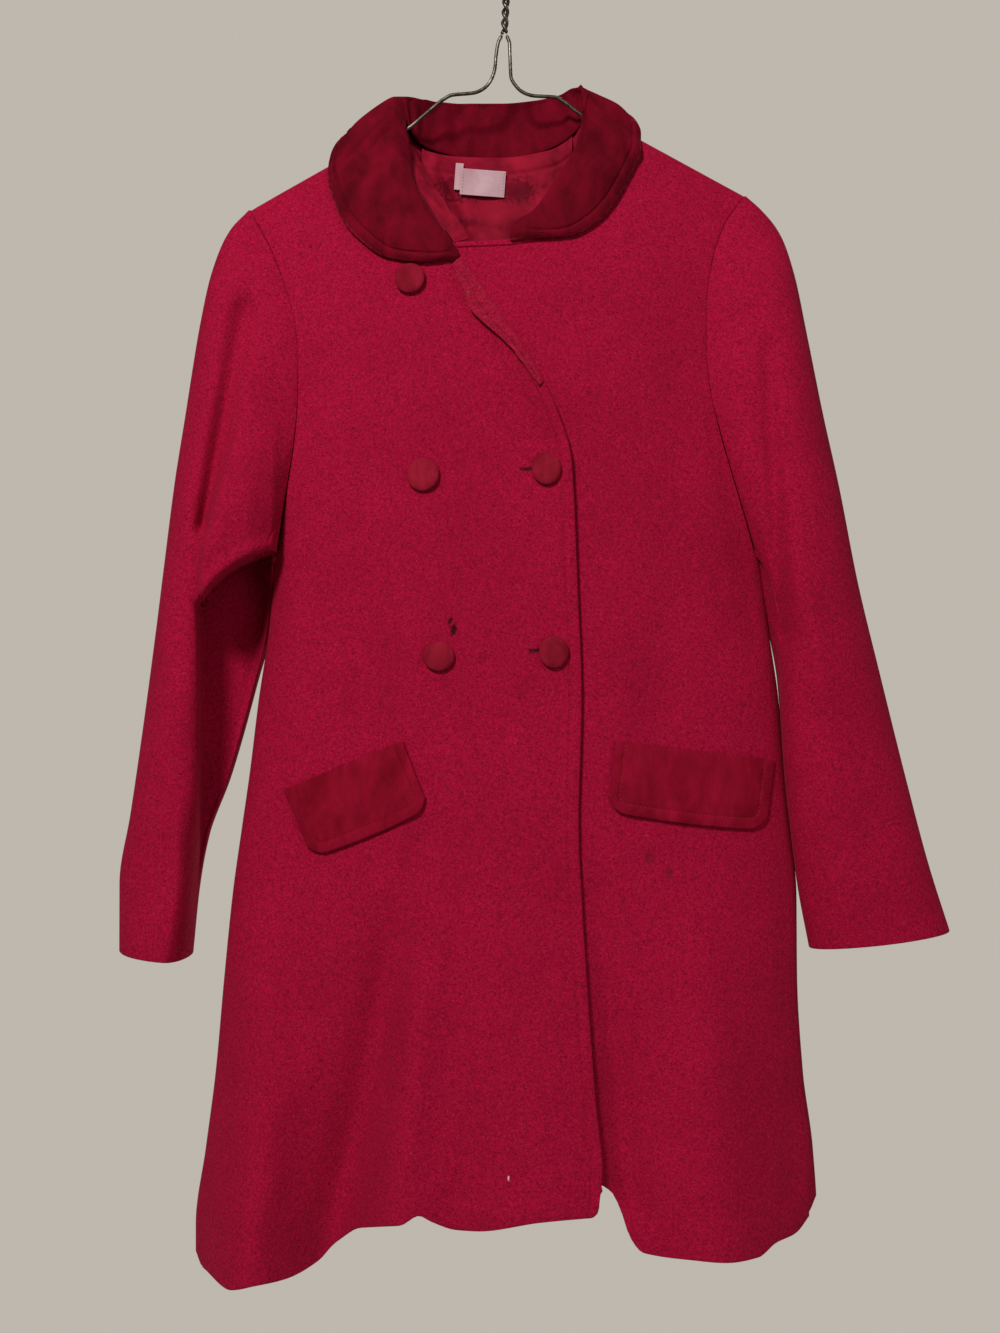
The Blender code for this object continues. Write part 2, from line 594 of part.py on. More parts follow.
def sleeve_ring_points(rings, t, angle, side):
    """Gives points on the sleeve at ring number t and at each angle round it."""
    number = np.arange(len(rings), dtype=float)
    read = {name: smooth_curve(number, column(rings, name), t) for name in Ring._fields}
    outer = true_place(read["outer_x"], read["outer_y"], read["outer_down"])
    inner = true_place(read["inner_x"], read["inner_y"], read["inner_down"])
    middle = (outer + inner) / 2.0
    half = (outer - inner) / 2.0
    length = np.hypot(half[..., 0], half[..., 2])
    bow_x = -side * np.abs(half[..., 2]) / length
    bow_z = side * np.sign(half[..., 2]) * half[..., 0] / length
    cosine = np.cos(angle)
    sine = np.sin(angle)
    ridge = np.where(sine >= 0, read["ridge"], 0.0)
    share = ridge + np.where(cosine >= 0, 1.0 - ridge, 1.0 + ridge) * cosine
    edge_y = np.where(cosine >= 0, read["outer_y"], read["inner_y"])
    far_y = np.where(sine >= 0, read["front_y"], read["back_y"])
    y = edge_y + (far_y - edge_y) * np.abs(sine)
    bow = read["bow"] * (1.0 - share**2)
    x = middle[..., 0] + half[..., 0] * share + bow_x * bow
    z = middle[..., 2] + half[..., 2] * share + bow_z * bow
    return np.stack([x, y, z], axis=-1)


def sleeve_points(rings, folds, side, angle, steps):
    """Gives a stretch of the sleeve as a grid: around by down."""
    t = np.linspace(0.0, 1.0, steps) ** SLEEVE_CROWD * (len(rings) - 1)
    angle = angle[:, None]
    t = t[None, :]
    points = sleeve_ring_points(rings, t + 0.0 * angle, angle + 0.0 * t, side)
    first = sleeve_ring_points(rings, 0.0 * angle, angle, side)
    loop = armhole_loop(angle, side)
    pull = np.clip(1.0 - t / ARMHOLE_PULL_RINGS, 0.0, 1.0)[..., None] ** 2
    points = points + (loop - first) * pull
    roll = np.clip(np.cos(angle), 0.0, 1.0) ** 2
    away = (ARMHOLE_CLEAR[side] + ROLL_CLEAR * roll) * np.clip(1.0 - t, 0.0, 1.0)
    points[..., 0] += side * away
    in_front = np.clip(np.sin(angle), 0.0, 1.0)
    rise = fold_height(folds, points[..., 0], -points[..., 2])
    points[..., 1] -= rise * in_front * np.clip(t / 1.5, 0.0, 1.0)
    return points


def build_sleeve(name, rings, folds, side, inner):
    """One sleeve in two pieces, upper at the front and outer side, under at the back and inner side."""
    upper = np.linspace(SPLIT_OUTER + SPLIT_SLIT, inner - SPLIT_SLIT, SLEEVE_COLUMNS)
    under = np.linspace(inner + SPLIT_SLIT, SPLIT_OUTER + 2.0 * math.pi - SPLIT_SLIT, SLEEVE_COLUMNS)
    upper_points = sleeve_points(rings, folds, side, upper, SLEEVE_LINES)
    under_points = sleeve_points(rings, folds, side, under, SLEEVE_LINES)
    mesh_object(name + "_upper", upper_points, WOOL, (side, -1, 0), RED_WOOL)
    mesh_object(name + "_under", under_points, WOOL, (0, 1, 0), RED_WOOL)


def body_y(x, down, turn, clear, side):
    """Gives Y at a place that stands clear of the front, the back or, in between, the shoulder."""
    mix = (turn + 1.0) / 2.0
    lift = np.where(side < 0, lap_lift(x, down), 0.0)
    front = front_depth(x, down) - lift
    return front * (1.0 - mix) + back_depth(x, down) * mix + turn * clear


def collar_lines(t):
    """Gives the collar's seam, roll, mid fall and outer edge at station number t.

    Behind the neck the roll stands straight above the seam, so its depth is read at the seam.
    """
    number = np.arange(len(COLLAR), dtype=float)
    read = {name: smooth_curve(number, column(COLLAR, name), t) for name in Station._fields}
    turn = read["turn"]
    side = read["seam_x"] - CENTRE_X
    seam_clear = np.where(turn < 0.0, SEAM_CLEAR, -0.5)
    seam_y = body_y(read["seam_x"], read["seam_down"], turn, seam_clear, side)
    seam = true_place(read["seam_x"], seam_y, read["seam_down"])
    behind = np.clip(turn, 0.0, 1.0)
    foot_x = read["roll_x"] + (read["seam_x"] - read["roll_x"]) * behind
    foot_down = read["roll_down"] + (read["seam_down"] - read["roll_down"]) * behind
    rise = read["rise"] * (1.0 - 0.4 * behind)
    roll_y = body_y(foot_x, foot_down, turn, rise, side)
    roll = true_place(read["roll_x"], roll_y, read["roll_down"])
    middle_x = read["roll_x"] + COLLAR_MIDDLE * (read["edge_x"] - read["roll_x"])
    middle_down = read["roll_down"] + COLLAR_MIDDLE * (read["edge_down"] - read["roll_down"])
    middle_y = body_y(middle_x, middle_down, turn, 0.75 * read["rise"] + COLLAR_SWELL, side)
    middle = true_place(middle_x, middle_y, middle_down)
    below_shoulder = read["edge_down"] - shoulder_down(read["edge_x"])
    edge_clear = VELVET + FALL_CLEAR + SHOULDER_CLEAR * np.exp(-(((below_shoulder - 5.0) / 8.0) ** 2))
    edge_y = body_y(read["edge_x"], read["edge_down"], turn, edge_clear, side)
    edge = true_place(read["edge_x"], edge_y, read["edge_down"])
    return seam, roll, middle, edge


def build_collar():
    """The collar: a strip that stands up from the neck, rolls over and falls on the coat."""
    t = np.linspace(0.0, len(COLLAR) - 1.0, COLLAR_STATIONS)
    lines = np.stack(collar_lines(t), axis=1)
    grid = np.empty((COLLAR_STATIONS, len(COLLAR_COLUMNS), 3))
    for station in range(COLLAR_STATIONS):
        for axis in range(3):
            grid[station, :, axis] = smooth_curve(COLLAR_KEYS, lines[station, :, axis], COLLAR_COLUMNS)
    mesh_object("collar", grid, VELVET, (0, -1, 0), RED_VELVET)


def flap_grid(flap, columns, lines):
    """Gives the seen x and down of a pocket flap's points, with rounded lower corners."""
    u = (1.0 - np.cos(np.linspace(0.0, math.pi, columns)))[:, None] / 2.0
    v = np.linspace(0.0, 1.0, lines)[None, :]
    x = flap.left_x + (flap.right_x - flap.left_x) * u
    top = flap.left_down + (flap.right_down - flap.left_down) * u
    low = flap.left_low + (flap.right_low - flap.left_low) * u + flap.low_dip * np.sin(math.pi * u)
    from_side = np.minimum(x - flap.left_x, flap.right_x - x)
    short = np.clip(1.0 - from_side / flap.corner, 0.0, 1.0)
    low = low - flap.corner * (1.0 - np.sqrt(1.0 - short**2))
    return x + 0.0 * v, top + (low - top) * v


def build_flaps():
    """The two pocket flaps, each on its own front."""
    for name, flap in FLAPS.items():
        x, down = flap_grid(flap, FLAP_COLUMNS, FLAP_LINES)
        depth = right_front_depth if name == "flap_right" else left_front_depth
        y = depth(x, down) - VELVET - FLAP_CLEAR
        mesh_object(name, true_place(x, y, down), VELVET, (0, -1, 0), RED_VELVET)


def facing_away(depth, x, down):
    """Gives the direction straight out of a panel's face at one place."""
    here = [true_place(np.array(x + i), depth(x + i, down + j), np.array(down + j))
            for i, j in ((-CLOTH_STEP, 0.0), (CLOTH_STEP, 0.0), (0.0, -CLOTH_STEP), (0.0, CLOTH_STEP))]
    out = np.cross(here[3] - here[2], here[1] - here[0])
    out = out / np.linalg.norm(out)
    return out if out[1] < 0 else -out


def build_buttons():
    """Five covered buttons, each with a flat back and a domed face, square to the cloth under it."""
    for number, button in enumerate(BUTTONS, 1):
        name = f"button_{number}"
        out = facing_away(right_front_depth, button.x, button.down)
        centre = true_place(np.array(button.x), right_front_depth(button.x, button.down), np.array(button.down))
        shape = bmesh.new()
        points = [shape.verts.new((r * button.wide * METRE, 0.0, h * BUTTON_HEIGHT * METRE))
                  for r, h in BUTTON_PROFILE]
        edges = [shape.edges.new(pair) for pair in zip(points[:-1], points[1:])]
        bmesh.ops.spin(shape, geom=points + edges, cent=(0, 0, 0), axis=(0, 0, 1), angle=2.0 * math.pi,
                       steps=BUTTON_SIDES)
        bmesh.ops.remove_doubles(shape, verts=shape.verts[:], dist=0.00002)
        bmesh.ops.scale(shape, vec=(1.0, button.high / button.wide, 1.0), verts=shape.verts[:])
        bmesh.ops.recalc_face_normals(shape, faces=shape.faces[:])
        mesh = bpy.data.meshes.new(name)
        shape.to_mesh(mesh)
        shape.free()
        mesh.materials.append(finish(*RED_VELVET))
        mesh.shade_smooth()
        thing = bpy.data.objects.new(name, mesh)
        thing.location = (centre + out * BUTTON_CLEAR) * METRE
        thing.rotation_euler = Vector(out).to_track_quat("Z", "Y").to_euler()
        bpy.context.scene.collection.objects.link(thing)


def build_lining():
    """The back neck lining, inside the back, and the bare label sewn on it."""
    u = np.linspace(0.0, 1.0, 13)[:, None]
    v = np.linspace(0.0, 1.0, 10)[None, :]
    x = LINING_LEFT + (LINING_RIGHT - LINING_LEFT) * u
    top = read_table(BACK_NECK, "x", "down", x) + LINING_BELOW_SEAM
    down = top + (LINING_LOW - top) * v
    lining_y = back_depth(x + 0.0 * v, down) - WOOL - SATIN - LINING_CLEAR
    mesh_object("lining_back", true_place(x + 0.0 * v, lining_y, down), SATIN, (0, 1, 0), RED_SATIN)
    x = (LABEL_LEFT + LABEL_WIDE * np.linspace(0.0, 1.0, 6))[:, None]
    down = (LABEL_TOP + LABEL_HIGH * np.linspace(0.0, 1.0, 4))[None, :]
    x = x + 0.0 * down
    down = down + 0.0 * x
    label_y = back_depth(x, down) - WOOL - 2.0 * SATIN - LINING_CLEAR - LABEL_CLEAR - TAPE
    mesh_object("label", true_place(x, label_y, down), TAPE, (0, 1, 0), PALE_TAPE)


def strip_grid(rows, columns, lines):
    """Gives the seen x and down of a narrow strip between its two long sides."""
    number = np.arange(len(rows), dtype=float)
    t = np.linspace(0.0, len(rows) - 1.0, lines)[None, :]
    u = np.linspace(0.0, 1.0, columns)[:, None]
    read = {name: smooth_curve(number, column(rows, name), t) for name in Strip._fields}
    x = read["edge_x"] + (read["far_x"] - read["edge_x"]) * u
    down = read["edge_down"] + (read["far_down"] - read["edge_down"]) * u
    return x, down, u


def build_facings():
    """The right front's facing: inside the neck, and turned out over the top of the front edge."""
    x, down, u = strip_grid(NECK_FACING, 5, 14)
    y = right_front_depth(x, down) + WOOL + FACING_CLEAR + FACING_DEPTH * u
    mesh_object("facing_neck", true_place(x, y, down), SATIN, (1, -1, 0), RED_SATIN)
    x, down, u = strip_grid(EDGE_FACING, 4, 16)
    y = right_front_depth(x, down) - SATIN - EDGE_CLEAR - EDGE_CURL * u
    mesh_object("facing_edge", true_place(x, y, down), SATIN, (0, -1, 0), RED_WOOL)


def wire(name, places):
    """A length of the hanger's wire along smooth bends through its places."""
    spots = np.array([(place.x, place.y, -place.down) for place in places], float)
    far = np.concatenate([[0.0], np.cumsum(np.linalg.norm(np.diff(spots, axis=0), axis=1))])
    count = min(int(far[-1] / WIRE_STEP), WIRE_MOST_STEPS)
    at = np.unique(np.concatenate([np.linspace(0.0, far[-1], count), far]))
    path = np.stack([smooth_curve(far, spots[:, axis], at) for axis in range(3)], axis=-1)
    curve = bpy.data.curves.new(name, "CURVE")
    curve.dimensions = "3D"
    curve.bevel_depth = WIRE_RADIUS * METRE
    curve.bevel_resolution = 1
    curve.use_fill_caps = True
    spline = curve.splines.new("POLY")
    spline.points.add(len(path) - 1)
    for point, spot in zip(spline.points, path * METRE):
        point.co = (*spot, 1.0)
    curve.materials.append(finish(*STEEL))
    thing = bpy.data.objects.new(name, curve)
    bpy.context.scene.collection.objects.link(thing)
    return thing


def twist_places(start_angle):
    """Gives one strand of the twisted neck."""
    places = []
    for share in np.linspace(0.0, 1.0, TWIST_STEPS):
        angle = start_angle + 2.0 * math.pi * TWIST_TURNS * share
        down = TWIST_TOP + (TWIST_LOW - TWIST_TOP) * share
        lean = TWIST_LEAN_TOP + (TWIST_LEAN_LOW - TWIST_LEAN_TOP) * share
        places.append(Place(lean + TWIST_RADIUS * math.cos(angle), TWIST_RADIUS * math.sin(angle), down))
    return places


def build_hanger():
    """The wire hanger: hook, twisted neck, two arms and the bar between their ends."""
    wire("hanger_hook", HOOK + twist_places(0.0))
    wire("hanger_twist", twist_places(math.pi))
    wire("hanger_arm_right", RIGHT_ARM)
    wire("hanger_arm_left", LEFT_ARM)
    bar = [Place(RIGHT_ARM[-1].x + GAP, 0, BAR_DOWN), Place(0, 0, BAR_DOWN), Place(LEFT_ARM[-1].x - GAP, 0, BAR_DOWN)]
    wire("hanger_bar", bar)


def main():
    """Builds every piece."""
    clear_scene()
    build_right_front()
    build_left_front()
    build_back()
    build_sleeve("sleeve_right", RIGHT_SLEEVE, RIGHT_SLEEVE_FOLDS, -1, RIGHT_SPLIT_INNER)
    build_sleeve("sleeve_left", LEFT_SLEEVE, LEFT_SLEEVE_FOLDS, 1, LEFT_SPLIT_INNER)
    build_collar()
    build_flaps()
    build_buttons()
    build_lining()
    build_facings()
    build_hanger()


main()
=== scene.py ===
"""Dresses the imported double-breasted coat: wool, velvet, satin, thread, buttons and wire, around the fixed
frame.

Lengths in tables and fields are millimetres, and CoatMesh turns them into metres. X runs to the viewer's
right, Y away
from the viewer and Z up, from the seat of the hanger's hook. "Down" is a distance below that seat. The coat
faces the
viewer, so the wearer's right side is on the viewer's left. A seen place lies on the hanger's plane as the
camera sees
it, and Eye.place moves it along its line of sight to its real depth.
"""
import logging
import math
from dataclasses import dataclass
from enum import Enum
from typing import Callable, NamedTuple, Optional, Sequence

import bpy
import numpy as np
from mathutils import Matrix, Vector


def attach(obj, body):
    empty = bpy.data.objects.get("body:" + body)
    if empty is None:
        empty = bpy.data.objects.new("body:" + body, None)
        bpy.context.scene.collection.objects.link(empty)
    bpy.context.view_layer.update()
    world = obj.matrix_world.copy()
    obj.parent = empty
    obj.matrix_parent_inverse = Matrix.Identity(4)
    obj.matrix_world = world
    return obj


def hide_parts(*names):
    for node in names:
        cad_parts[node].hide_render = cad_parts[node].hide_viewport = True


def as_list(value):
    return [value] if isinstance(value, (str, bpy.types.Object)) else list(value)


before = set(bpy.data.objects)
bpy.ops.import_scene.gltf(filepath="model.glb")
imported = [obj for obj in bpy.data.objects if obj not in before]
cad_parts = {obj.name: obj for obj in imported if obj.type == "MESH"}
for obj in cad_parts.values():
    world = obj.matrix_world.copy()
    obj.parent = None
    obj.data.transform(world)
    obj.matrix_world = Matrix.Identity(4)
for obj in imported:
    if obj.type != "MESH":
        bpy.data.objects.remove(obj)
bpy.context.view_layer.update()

Array = np.ndarray
Surface = Callable[[Array, Array], Array]
log = logging.getLogger("coat")

MM = 0.001
BODY = "root"
CENTRE_X = -3.5
UNDERARM = 468.0
WOOL = 2.2
VELVET = 2.2
SATIN = 1.0
HALF_WALL = 1.1
SEAM_INSET = 0.6


class Side(Enum):
    """The wearer's side, as the sign of X that it has here."""

    RIGHT = -1
    LEFT = 1


class Held(Enum):
    HUNG = "hung"
    FOLDED = "folded"
    LAID = "laid"


class Girth(NamedTuple):
    """One level of the body: half widths, turns of the side seam in degrees, and depths of front and back."""

    down: float
    right_half: float
    right_turn: float
    left_half: float
    left_turn: float
    front: float
    back: float


class Point(NamedTuple):
    """A seen place."""

    x: float
    down: float


class Across(NamedTuple):
    """A line across a front panel, from its neck or front edge to its armhole or side seam."""

    edge_x: float
    edge_down: float
    side_down: float


class Fold(NamedTuple):
    """A straight crest in cloth. Its rise is towards the viewer on a front, away on the back, and may be
    negative.
    """

    top_x: float
    top_down: float
    low_x: float
    low_down: float
    top_width: float
    low_width: float
    top_rise: float
    low_rise: float


class Ring(NamedTuple):
    """One level of a sleeve: its edges, where its front ridge lies between them, its depths, and its bow
    inward.
    """

    outer_x: float
    outer_down: float
    inner_x: float
    inner_down: float
    ridge: float
    outer_y: float
    front_y: float
    inner_y: float
    back_y: float
    bow: float


class Station(NamedTuple):
    """One place along the collar: seam, roll and edge, the turn from front (-1) to back (1), and the roll's
    rise.
    """

    seam_x: float
    seam_down: float
    roll_x: float
    roll_down: float
    edge_x: float
    edge_down: float
    turn: float
    rise: float


class Strip(NamedTuple):
    """One line across a narrow strip."""

    edge_x: float
    edge_down: float
    far_x: float
    far_down: float


class Mark(NamedTuple):
    """A mark on the cloth (stains and specks, and patches of painted shade): its seen place, half sizes, and the depth
    and colour that it has.
    """

    x: float
    down: float
    half_x: float
    half_down: float
    strength: float
    colour: tuple


GIRTHS = [
    Girth(150, 178, 78.6, 174, 78.6, 36, 22), Girth(215, 178, 78.6, 174, 78.6, 38, 22),
    Girth(250, 172, 71.0, 170, 70.0, 40, 22), Girth(290, 166, 65.0, 166, 63.0, 41, 23),
    Girth(350, 164, 63.0, 169, 62.0, 43, 24), Girth(410, 163, 69.0, 178, 68.0, 45, 26),
    Girth(440, 160, 83.0, 181, 82.0, 46, 27), Girth(468, 158, 98.0, 182, 99.0, 46, 28),
    Girth(512, 161, 101.0, 187, 101.0, 46, 29), Girth(568, 169, 102.0, 195, 101.0, 46, 30),
    Girth(617, 175, 102.5, 199, 101.0, 46, 32), Girth(652, 180, 102.0, 202.5, 101.0, 46, 34),
    Girth(702, 187, 102.0, 207.5, 101.0, 47, 36), Girth(761, 193, 102.5, 208, 100.5, 48, 38),
    Girth(827, 199, 103.0, 212, 100.5, 50, 41), Girth(881, 206, 103.0, 219, 101.0, 53, 44),
    Girth(934, 213, 102.0, 222, 103.0, 56, 47), Girth(985, 213, 102.0, 222, 103.0, 58, 49),
]
SHOULDERS = [Point(-178, 225), Point(-72, 165), Point(59, 156), Point(167, 215)]
RIGHT_ARMHOLE = [
    Point(-178, 225), Point(-164, 251), Point(-155, 274), Point(-148, 298), Point(-145, 326), Point(-145,
                                                                                                    351),
    Point(-147, 381), Point(-152, 416), Point(-155, 435), Point(-160, 468),
]
LEFT_ARMHOLE = [
    Point(167, 215), Point(153, 235), Point(145, 260), Point(141, 292), Point(141, 321), Point(144, 351),
    Point(151, 381), Point(161, 416), Point(169, 443), Point(176, 468),
]
RIGHT_FRONT = [
    Across(-72, 165, 225), Across(-70, 192, 250), Across(-61, 219, 274), Across(-46, 241, 298),
    Across(-31, 256, 326), Across(-17, 275, 351), Across(-1, 298, 381), Across(18, 326, 410),
    Across(37, 365, 440), Across(47, 400, 468), Across(51, 480, 520), Across(54, 568, 580),
    Across(52, 652, 652), Across(55, 720, 720), Across(59, 783, 783), Across(64, 848, 848),
    Across(69, 903, 910), Across(67, 930, 968),
]
LEFT_FRONT = [
    Across(59, 156, 215), Across(61, 183, 245), Across(52, 207, 270), Across(35, 228, 295),
    Across(4, 244, 330), Across(-50, 248, 372), Across(-54, 300, 400), Across(-55, 365, 435),
    Across(-55, 430, 468), Across(-55, 500, 520), Across(-55, 580, 580), Across(-55, 652, 652),
    Across(-55, 720, 720), Across(-54, 783, 783), Across(-53, 848, 848), Across(-52, 890, 905),
    Across(-52, 905, 930),
]
RIGHT_HEM = [
    Point(-212, 965), Point(-192, 981), Point(-174, 978), Point(-153, 973), Point(-130, 960), Point(-118,
                                                                                                    947),
    Point(-102, 937), Point(-74, 936), Point(-60, 929), Point(-52, 933), Point(-34, 939), Point(-18, 940),
    Point(24, 934), Point(67, 930),
]
LEFT_HEM = [
    Point(-52, 905), Point(40, 905), Point(66, 907), Point(75, 912), Point(82, 927), Point(87, 943),
            Point(97, 955),
    Point(130, 960), Point(155, 962), Point(178, 958), Point(190, 948), Point(204, 941), Point(214, 928),
]
BACK_HEM = [
    Point(-216.5, 954), Point(-212, 964), Point(-190, 962), Point(-150, 948), Point(-110, 929), Point(-60,
                                                                                                      920),
    Point(0, 918), Point(60, 903), Point(92, 914), Point(150, 926), Point(190, 932), Point(212, 927),
    Point(218.5, 915),
]
BACK_NECK = [
    Point(-72, 165), Point(-66, 178), Point(-55, 187), Point(-35, 191), Point(-5, 192), Point(30, 187),
    Point(46, 178), Point(59, 156),
]

# The broad folds first, then the finer creases of the cloth.
FRONT_FOLDS = [
    Fold(-65, 673, -122, 953, 10, 20, -3, -21), Fold(-45, 694, -76, 939, 12, 18, 1, 8),
    Fold(-170, 708, -180, 981, 14, 32, 1, 26), Fold(10, 708, 17, 935, 30, 40, 0, 8),
    Fold(-25, 848, -25, 942, 12, 16, 0, -5), Fold(137, 680, 150, 961, 24, 40, 1, 22),
    Fold(-120, 300, -95, 560, 14, 22, 0, -3), Fold(128, 300, 110, 560, 14, 22, 0, -3),
]
FRONT_CREASES = [
    Fold(-66, 740, -116, 950, 11, 17, -1.5, -5.0), Fold(-84, 690, -140, 960, 18, 32, -2.0, -10.0),
    Fold(-140, 800, -186, 972, 12, 18, 0.0, 4.0),
    Fold(-46, 700, -92, 940, 12, 18, 1.0, 4.0),
    Fold(-104, 455, -92, 640, 12, 14, -1.5, -3.5), Fold(-76, 470, -70, 640, 12, 14, 0.5, 2.0),
    Fold(-34, 290, 24, 385, 12, 14, -3.5, -4.5), Fold(-140, 250, -128, 340, 12, 16, -1.0, -2.0),
    Fold(-150, 470, -142, 640, 10, 14, 1.5, 1.0), Fold(-30, 860, -60, 935, 8, 9, 0.0, 2.0),
    Fold(150, 380, 176, 520, 9, 10, -2.0, -3.0), Fold(120, 240, 118, 330, 16, 14, 0.0, -1.2),
    Fold(196, 640, 206, 900, 9, 12, -1.0, -4.0), Fold(20, 560, 30, 760, 26, 24, 0.8, -0.8),
    Fold(-50, 380, -40, 520, 22, 26, 0.0, 1.2), Fold(95, 420, 90, 580, 26, 26, 1.0, 0.6),
]
LAP_FOLDS = [Fold(64, 700, 86, 915, 8, 15, -2, -13)]
BACK_FOLDS = [
    Fold(-120, 620, -150, 960, 20, 34, 0, 18), Fold(-60, 680, -70, 940, 18, 26, 0, -14),
    Fold(0, 640, 5, 935, 24, 34, 0, 14), Fold(70, 700, 80, 930, 18, 26, 0, -13),
    Fold(130, 640, 150, 930, 20, 34, 0, 17), Fold(-70, 260, -60, 520, 14, 20, 0, -3),
    Fold(60, 260, 55, 520, 14, 20, 0, -3),
]
BACK_CREASES = [
    Fold(-96, 300, -84, 470, 12, 16, -1.0, -2.0), Fold(94, 300, 84, 460, 12, 16, -1.0, -2.2),
    Fold(-30, 380, -20, 620, 22, 26, 0.0, -2.0), Fold(30, 380, 34, 640, 20, 26, 0.0, 2.0),
    Fold(-100, 840, -104, 945, 10, 12, 0.0, -4.0), Fold(105, 830, 112, 925, 10, 12, 0.0, -4.0),
    Fold(-150, 470, -150, 600, 10, 14, -1.5, -1.0), Fold(160, 470, 162, 600, 10, 14, -1.5, -1.0),
]

RIGHT_SLEEVE = [
    Ring(-180, 225, -160, 468, 0.00, 0, -26, -10, 18, 25), Ring(-194, 240, -161.5, 474, 0.00, 0, -30, -8,
                                                                20, 20),
    Ring(-205, 268, -162.5, 484, 0.05, 0, -34, -4, 23, 14), Ring(-213, 306, -163.5, 496, 0.10, 0, -37, 2,
                                                                 26, 8),
    Ring(-223, 370, -165.5, 515, 0.15, 0, -40, 9, 30, 3), Ring(-230, 416, -168, 532, 0.20, 0, -41, 15, 33, 0),
    Ring(-237, 472, -173.5, 556, 0.25, 0, -41, 19, 35, 0), Ring(-243, 520, -181, 585, 0.20, 0, -41, 20, 36,
                                                                0),
    Ring(-252, 585, -192, 622, -0.05, 0, -40, 18, 36, 0), Ring(-261, 645, -207, 662, -0.50, 0, -39, 10, 35,
                                                               0),
    Ring(-269, 695, -214, 698, -0.65, 0, -38, 0, 34, 0), Ring(-269, 742, -219, 746, -0.50, 0, -37, 0, 33, 0),
]
LEFT_SLEEVE = [
    Ring(168, 215, 176, 468, 0.00, 0, -24, -10, 18, 28), Ring(181, 226, 181, 474, 0.00, 0, -29, -12, 20, 22),
    Ring(193, 243, 185, 484, 0.00, 0, -32, -12, 22, 16), Ring(202, 270, 188, 496, 0.00, 0, -34, -12, 24, 10),
    Ring(211, 314, 191, 514, 0.00, 0, -36, -12, 26, 5), Ring(221, 364, 192, 534, -0.10, 0, -36, -12, 27, 1),
    Ring(233, 418, 193, 556, -0.20, 0, -36, -12, 27, 0), Ring(246, 484, 194, 586, -0.20, 0, -35, -11, 27, 0),
    Ring(262, 550, 196, 620, -0.20, 0, -34, -10, 27, 0), Ring(280, 622, 200, 658, -0.20, 0, -32, -9, 26, 0),
    Ring(296, 682, 205, 698, -0.10, 0, -28, -6, 24, 0), Ring(311, 729, 213, 741, 0.00, 0, -24, 0, 22, 0),
]
RIGHT_SLEEVE_FOLDS = [
    Fold(-183, 298, -211, 444, 9, 5.5, -9, -12), Fold(-226, 560, -232, 740, 12, 14, 2, -2),
    Fold(-180, 400, -178, 462, 12, 12, 2, 4),
]
LEFT_SLEEVE_FOLDS = [
    Fold(184, 325, 194, 520, 6, 7, -4, -7), Fold(205, 470, 224, 560, 9, 9, 2, 3), Fold(232, 520, 262, 700,
                                                                                       14, 18, 2, -2),
]
# The elbow fold of the right sleeve: the ridge that runs down to it, the lip of the bulge above it, from
# its tip to
# the body, and the forearm's edge below it.
ELBOW_RIDGE = [Point(-180, 350), Point(-188, 378), Point(-196, 400), Point(-208, 436), Point(-215, 486),
               Point(-214, 500)]
ELBOW_LIP = [Point(-222, 504), Point(-212, 498), Point(-207.5, 492), Point(-197, 482), Point(-187, 475),
             Point(-177.5, 470.5), Point(-169, 467.7), Point(-160, 466)]
FOREARM_EDGE = [Point(-216, 484), Point(-214, 512), Point(-213, 560), Point(-213, 669), Point(-218, 750)]

COLLAR = [
    Station(-33, 252, -32, 254, -34, 259, -1.0, 4), Station(-43, 237.5, -42, 241, -57, 261, -1.0, 8),
    Station(-54.5, 218.5, -55, 225, -83, 258, -1.0, 10), Station(-64, 203, -64, 205, -101, 247, -1.0, 11),
    Station(-66, 188, -75, 186, -114, 233, -1.0, 11), Station(-67.5, 175, -79, 168, -122, 215, -1.0, 10),
    Station(-69, 168, -80, 158, -125, 200, -1.0, 10), Station(-69, 163, -79, 150, -123, 187, -0.5, 9),
    Station(-68, 161, -77, 145, -112, 175, 0.1, 8), Station(-65, 167, -69, 145, -94, 186, 1.0, 8),
    Station(-58, 178, -58, 147, -76, 201, 1.0, 9), Station(-46, 184, -45, 149, -52, 210, 1.0, 9),
    Station(-28, 188, -28, 150, -32, 215, 1.0, 9), Station(-5, 189, -6, 150, -5, 217, 1.0, 9),
    Station(22, 185, 20, 148, 24, 213, 1.0, 9), Station(40, 177, 38, 144, 50, 205, 1.0, 9),
    Station(50, 168, 48, 139, 68, 192, 1.0, 9), Station(54, 159, 53, 138.5, 82, 176, 1.0, 8),
    Station(55, 153, 60, 142, 91, 163, 0.1, 8), Station(56, 157, 56, 143, 96, 171, -0.4, 9),
    Station(57, 165, 54, 152, 96, 184, -1.0, 10), Station(57, 174, 53, 164, 92, 194, -1.0, 10),
    Station(54, 188, 50, 178, 86, 205, -1.0, 11), Station(46, 204, 43, 191, 78, 219, -1.0, 11),
    Station(35, 220, 32, 208, 64, 234, -1.0, 10), Station(21, 232, 20, 224, 44, 243, -1.0, 8),
    Station(6, 240, 5, 233, 3, 245, -1.0, 5),
]
NECK_FACING = [
    Strip(-71, 176, -66, 178), Strip(-69, 190, -58, 192), Strip(-60, 216, -46, 212), Strip(-50, 231, -37,
                                                                                           226),
    Strip(-41, 239, -29, 236),
    Strip(-35, 247, -25, 244),
]
EDGE_FACING = [
    Strip(-32, 257, -37, 262), Strip(-18, 275, -29, 280), Strip(-10, 286, -24, 294), Strip(-2, 298, -14, 304),
    Strip(9, 314, 1, 317), Strip(17, 326, 11, 329), Strip(27, 344, 24, 347),
]
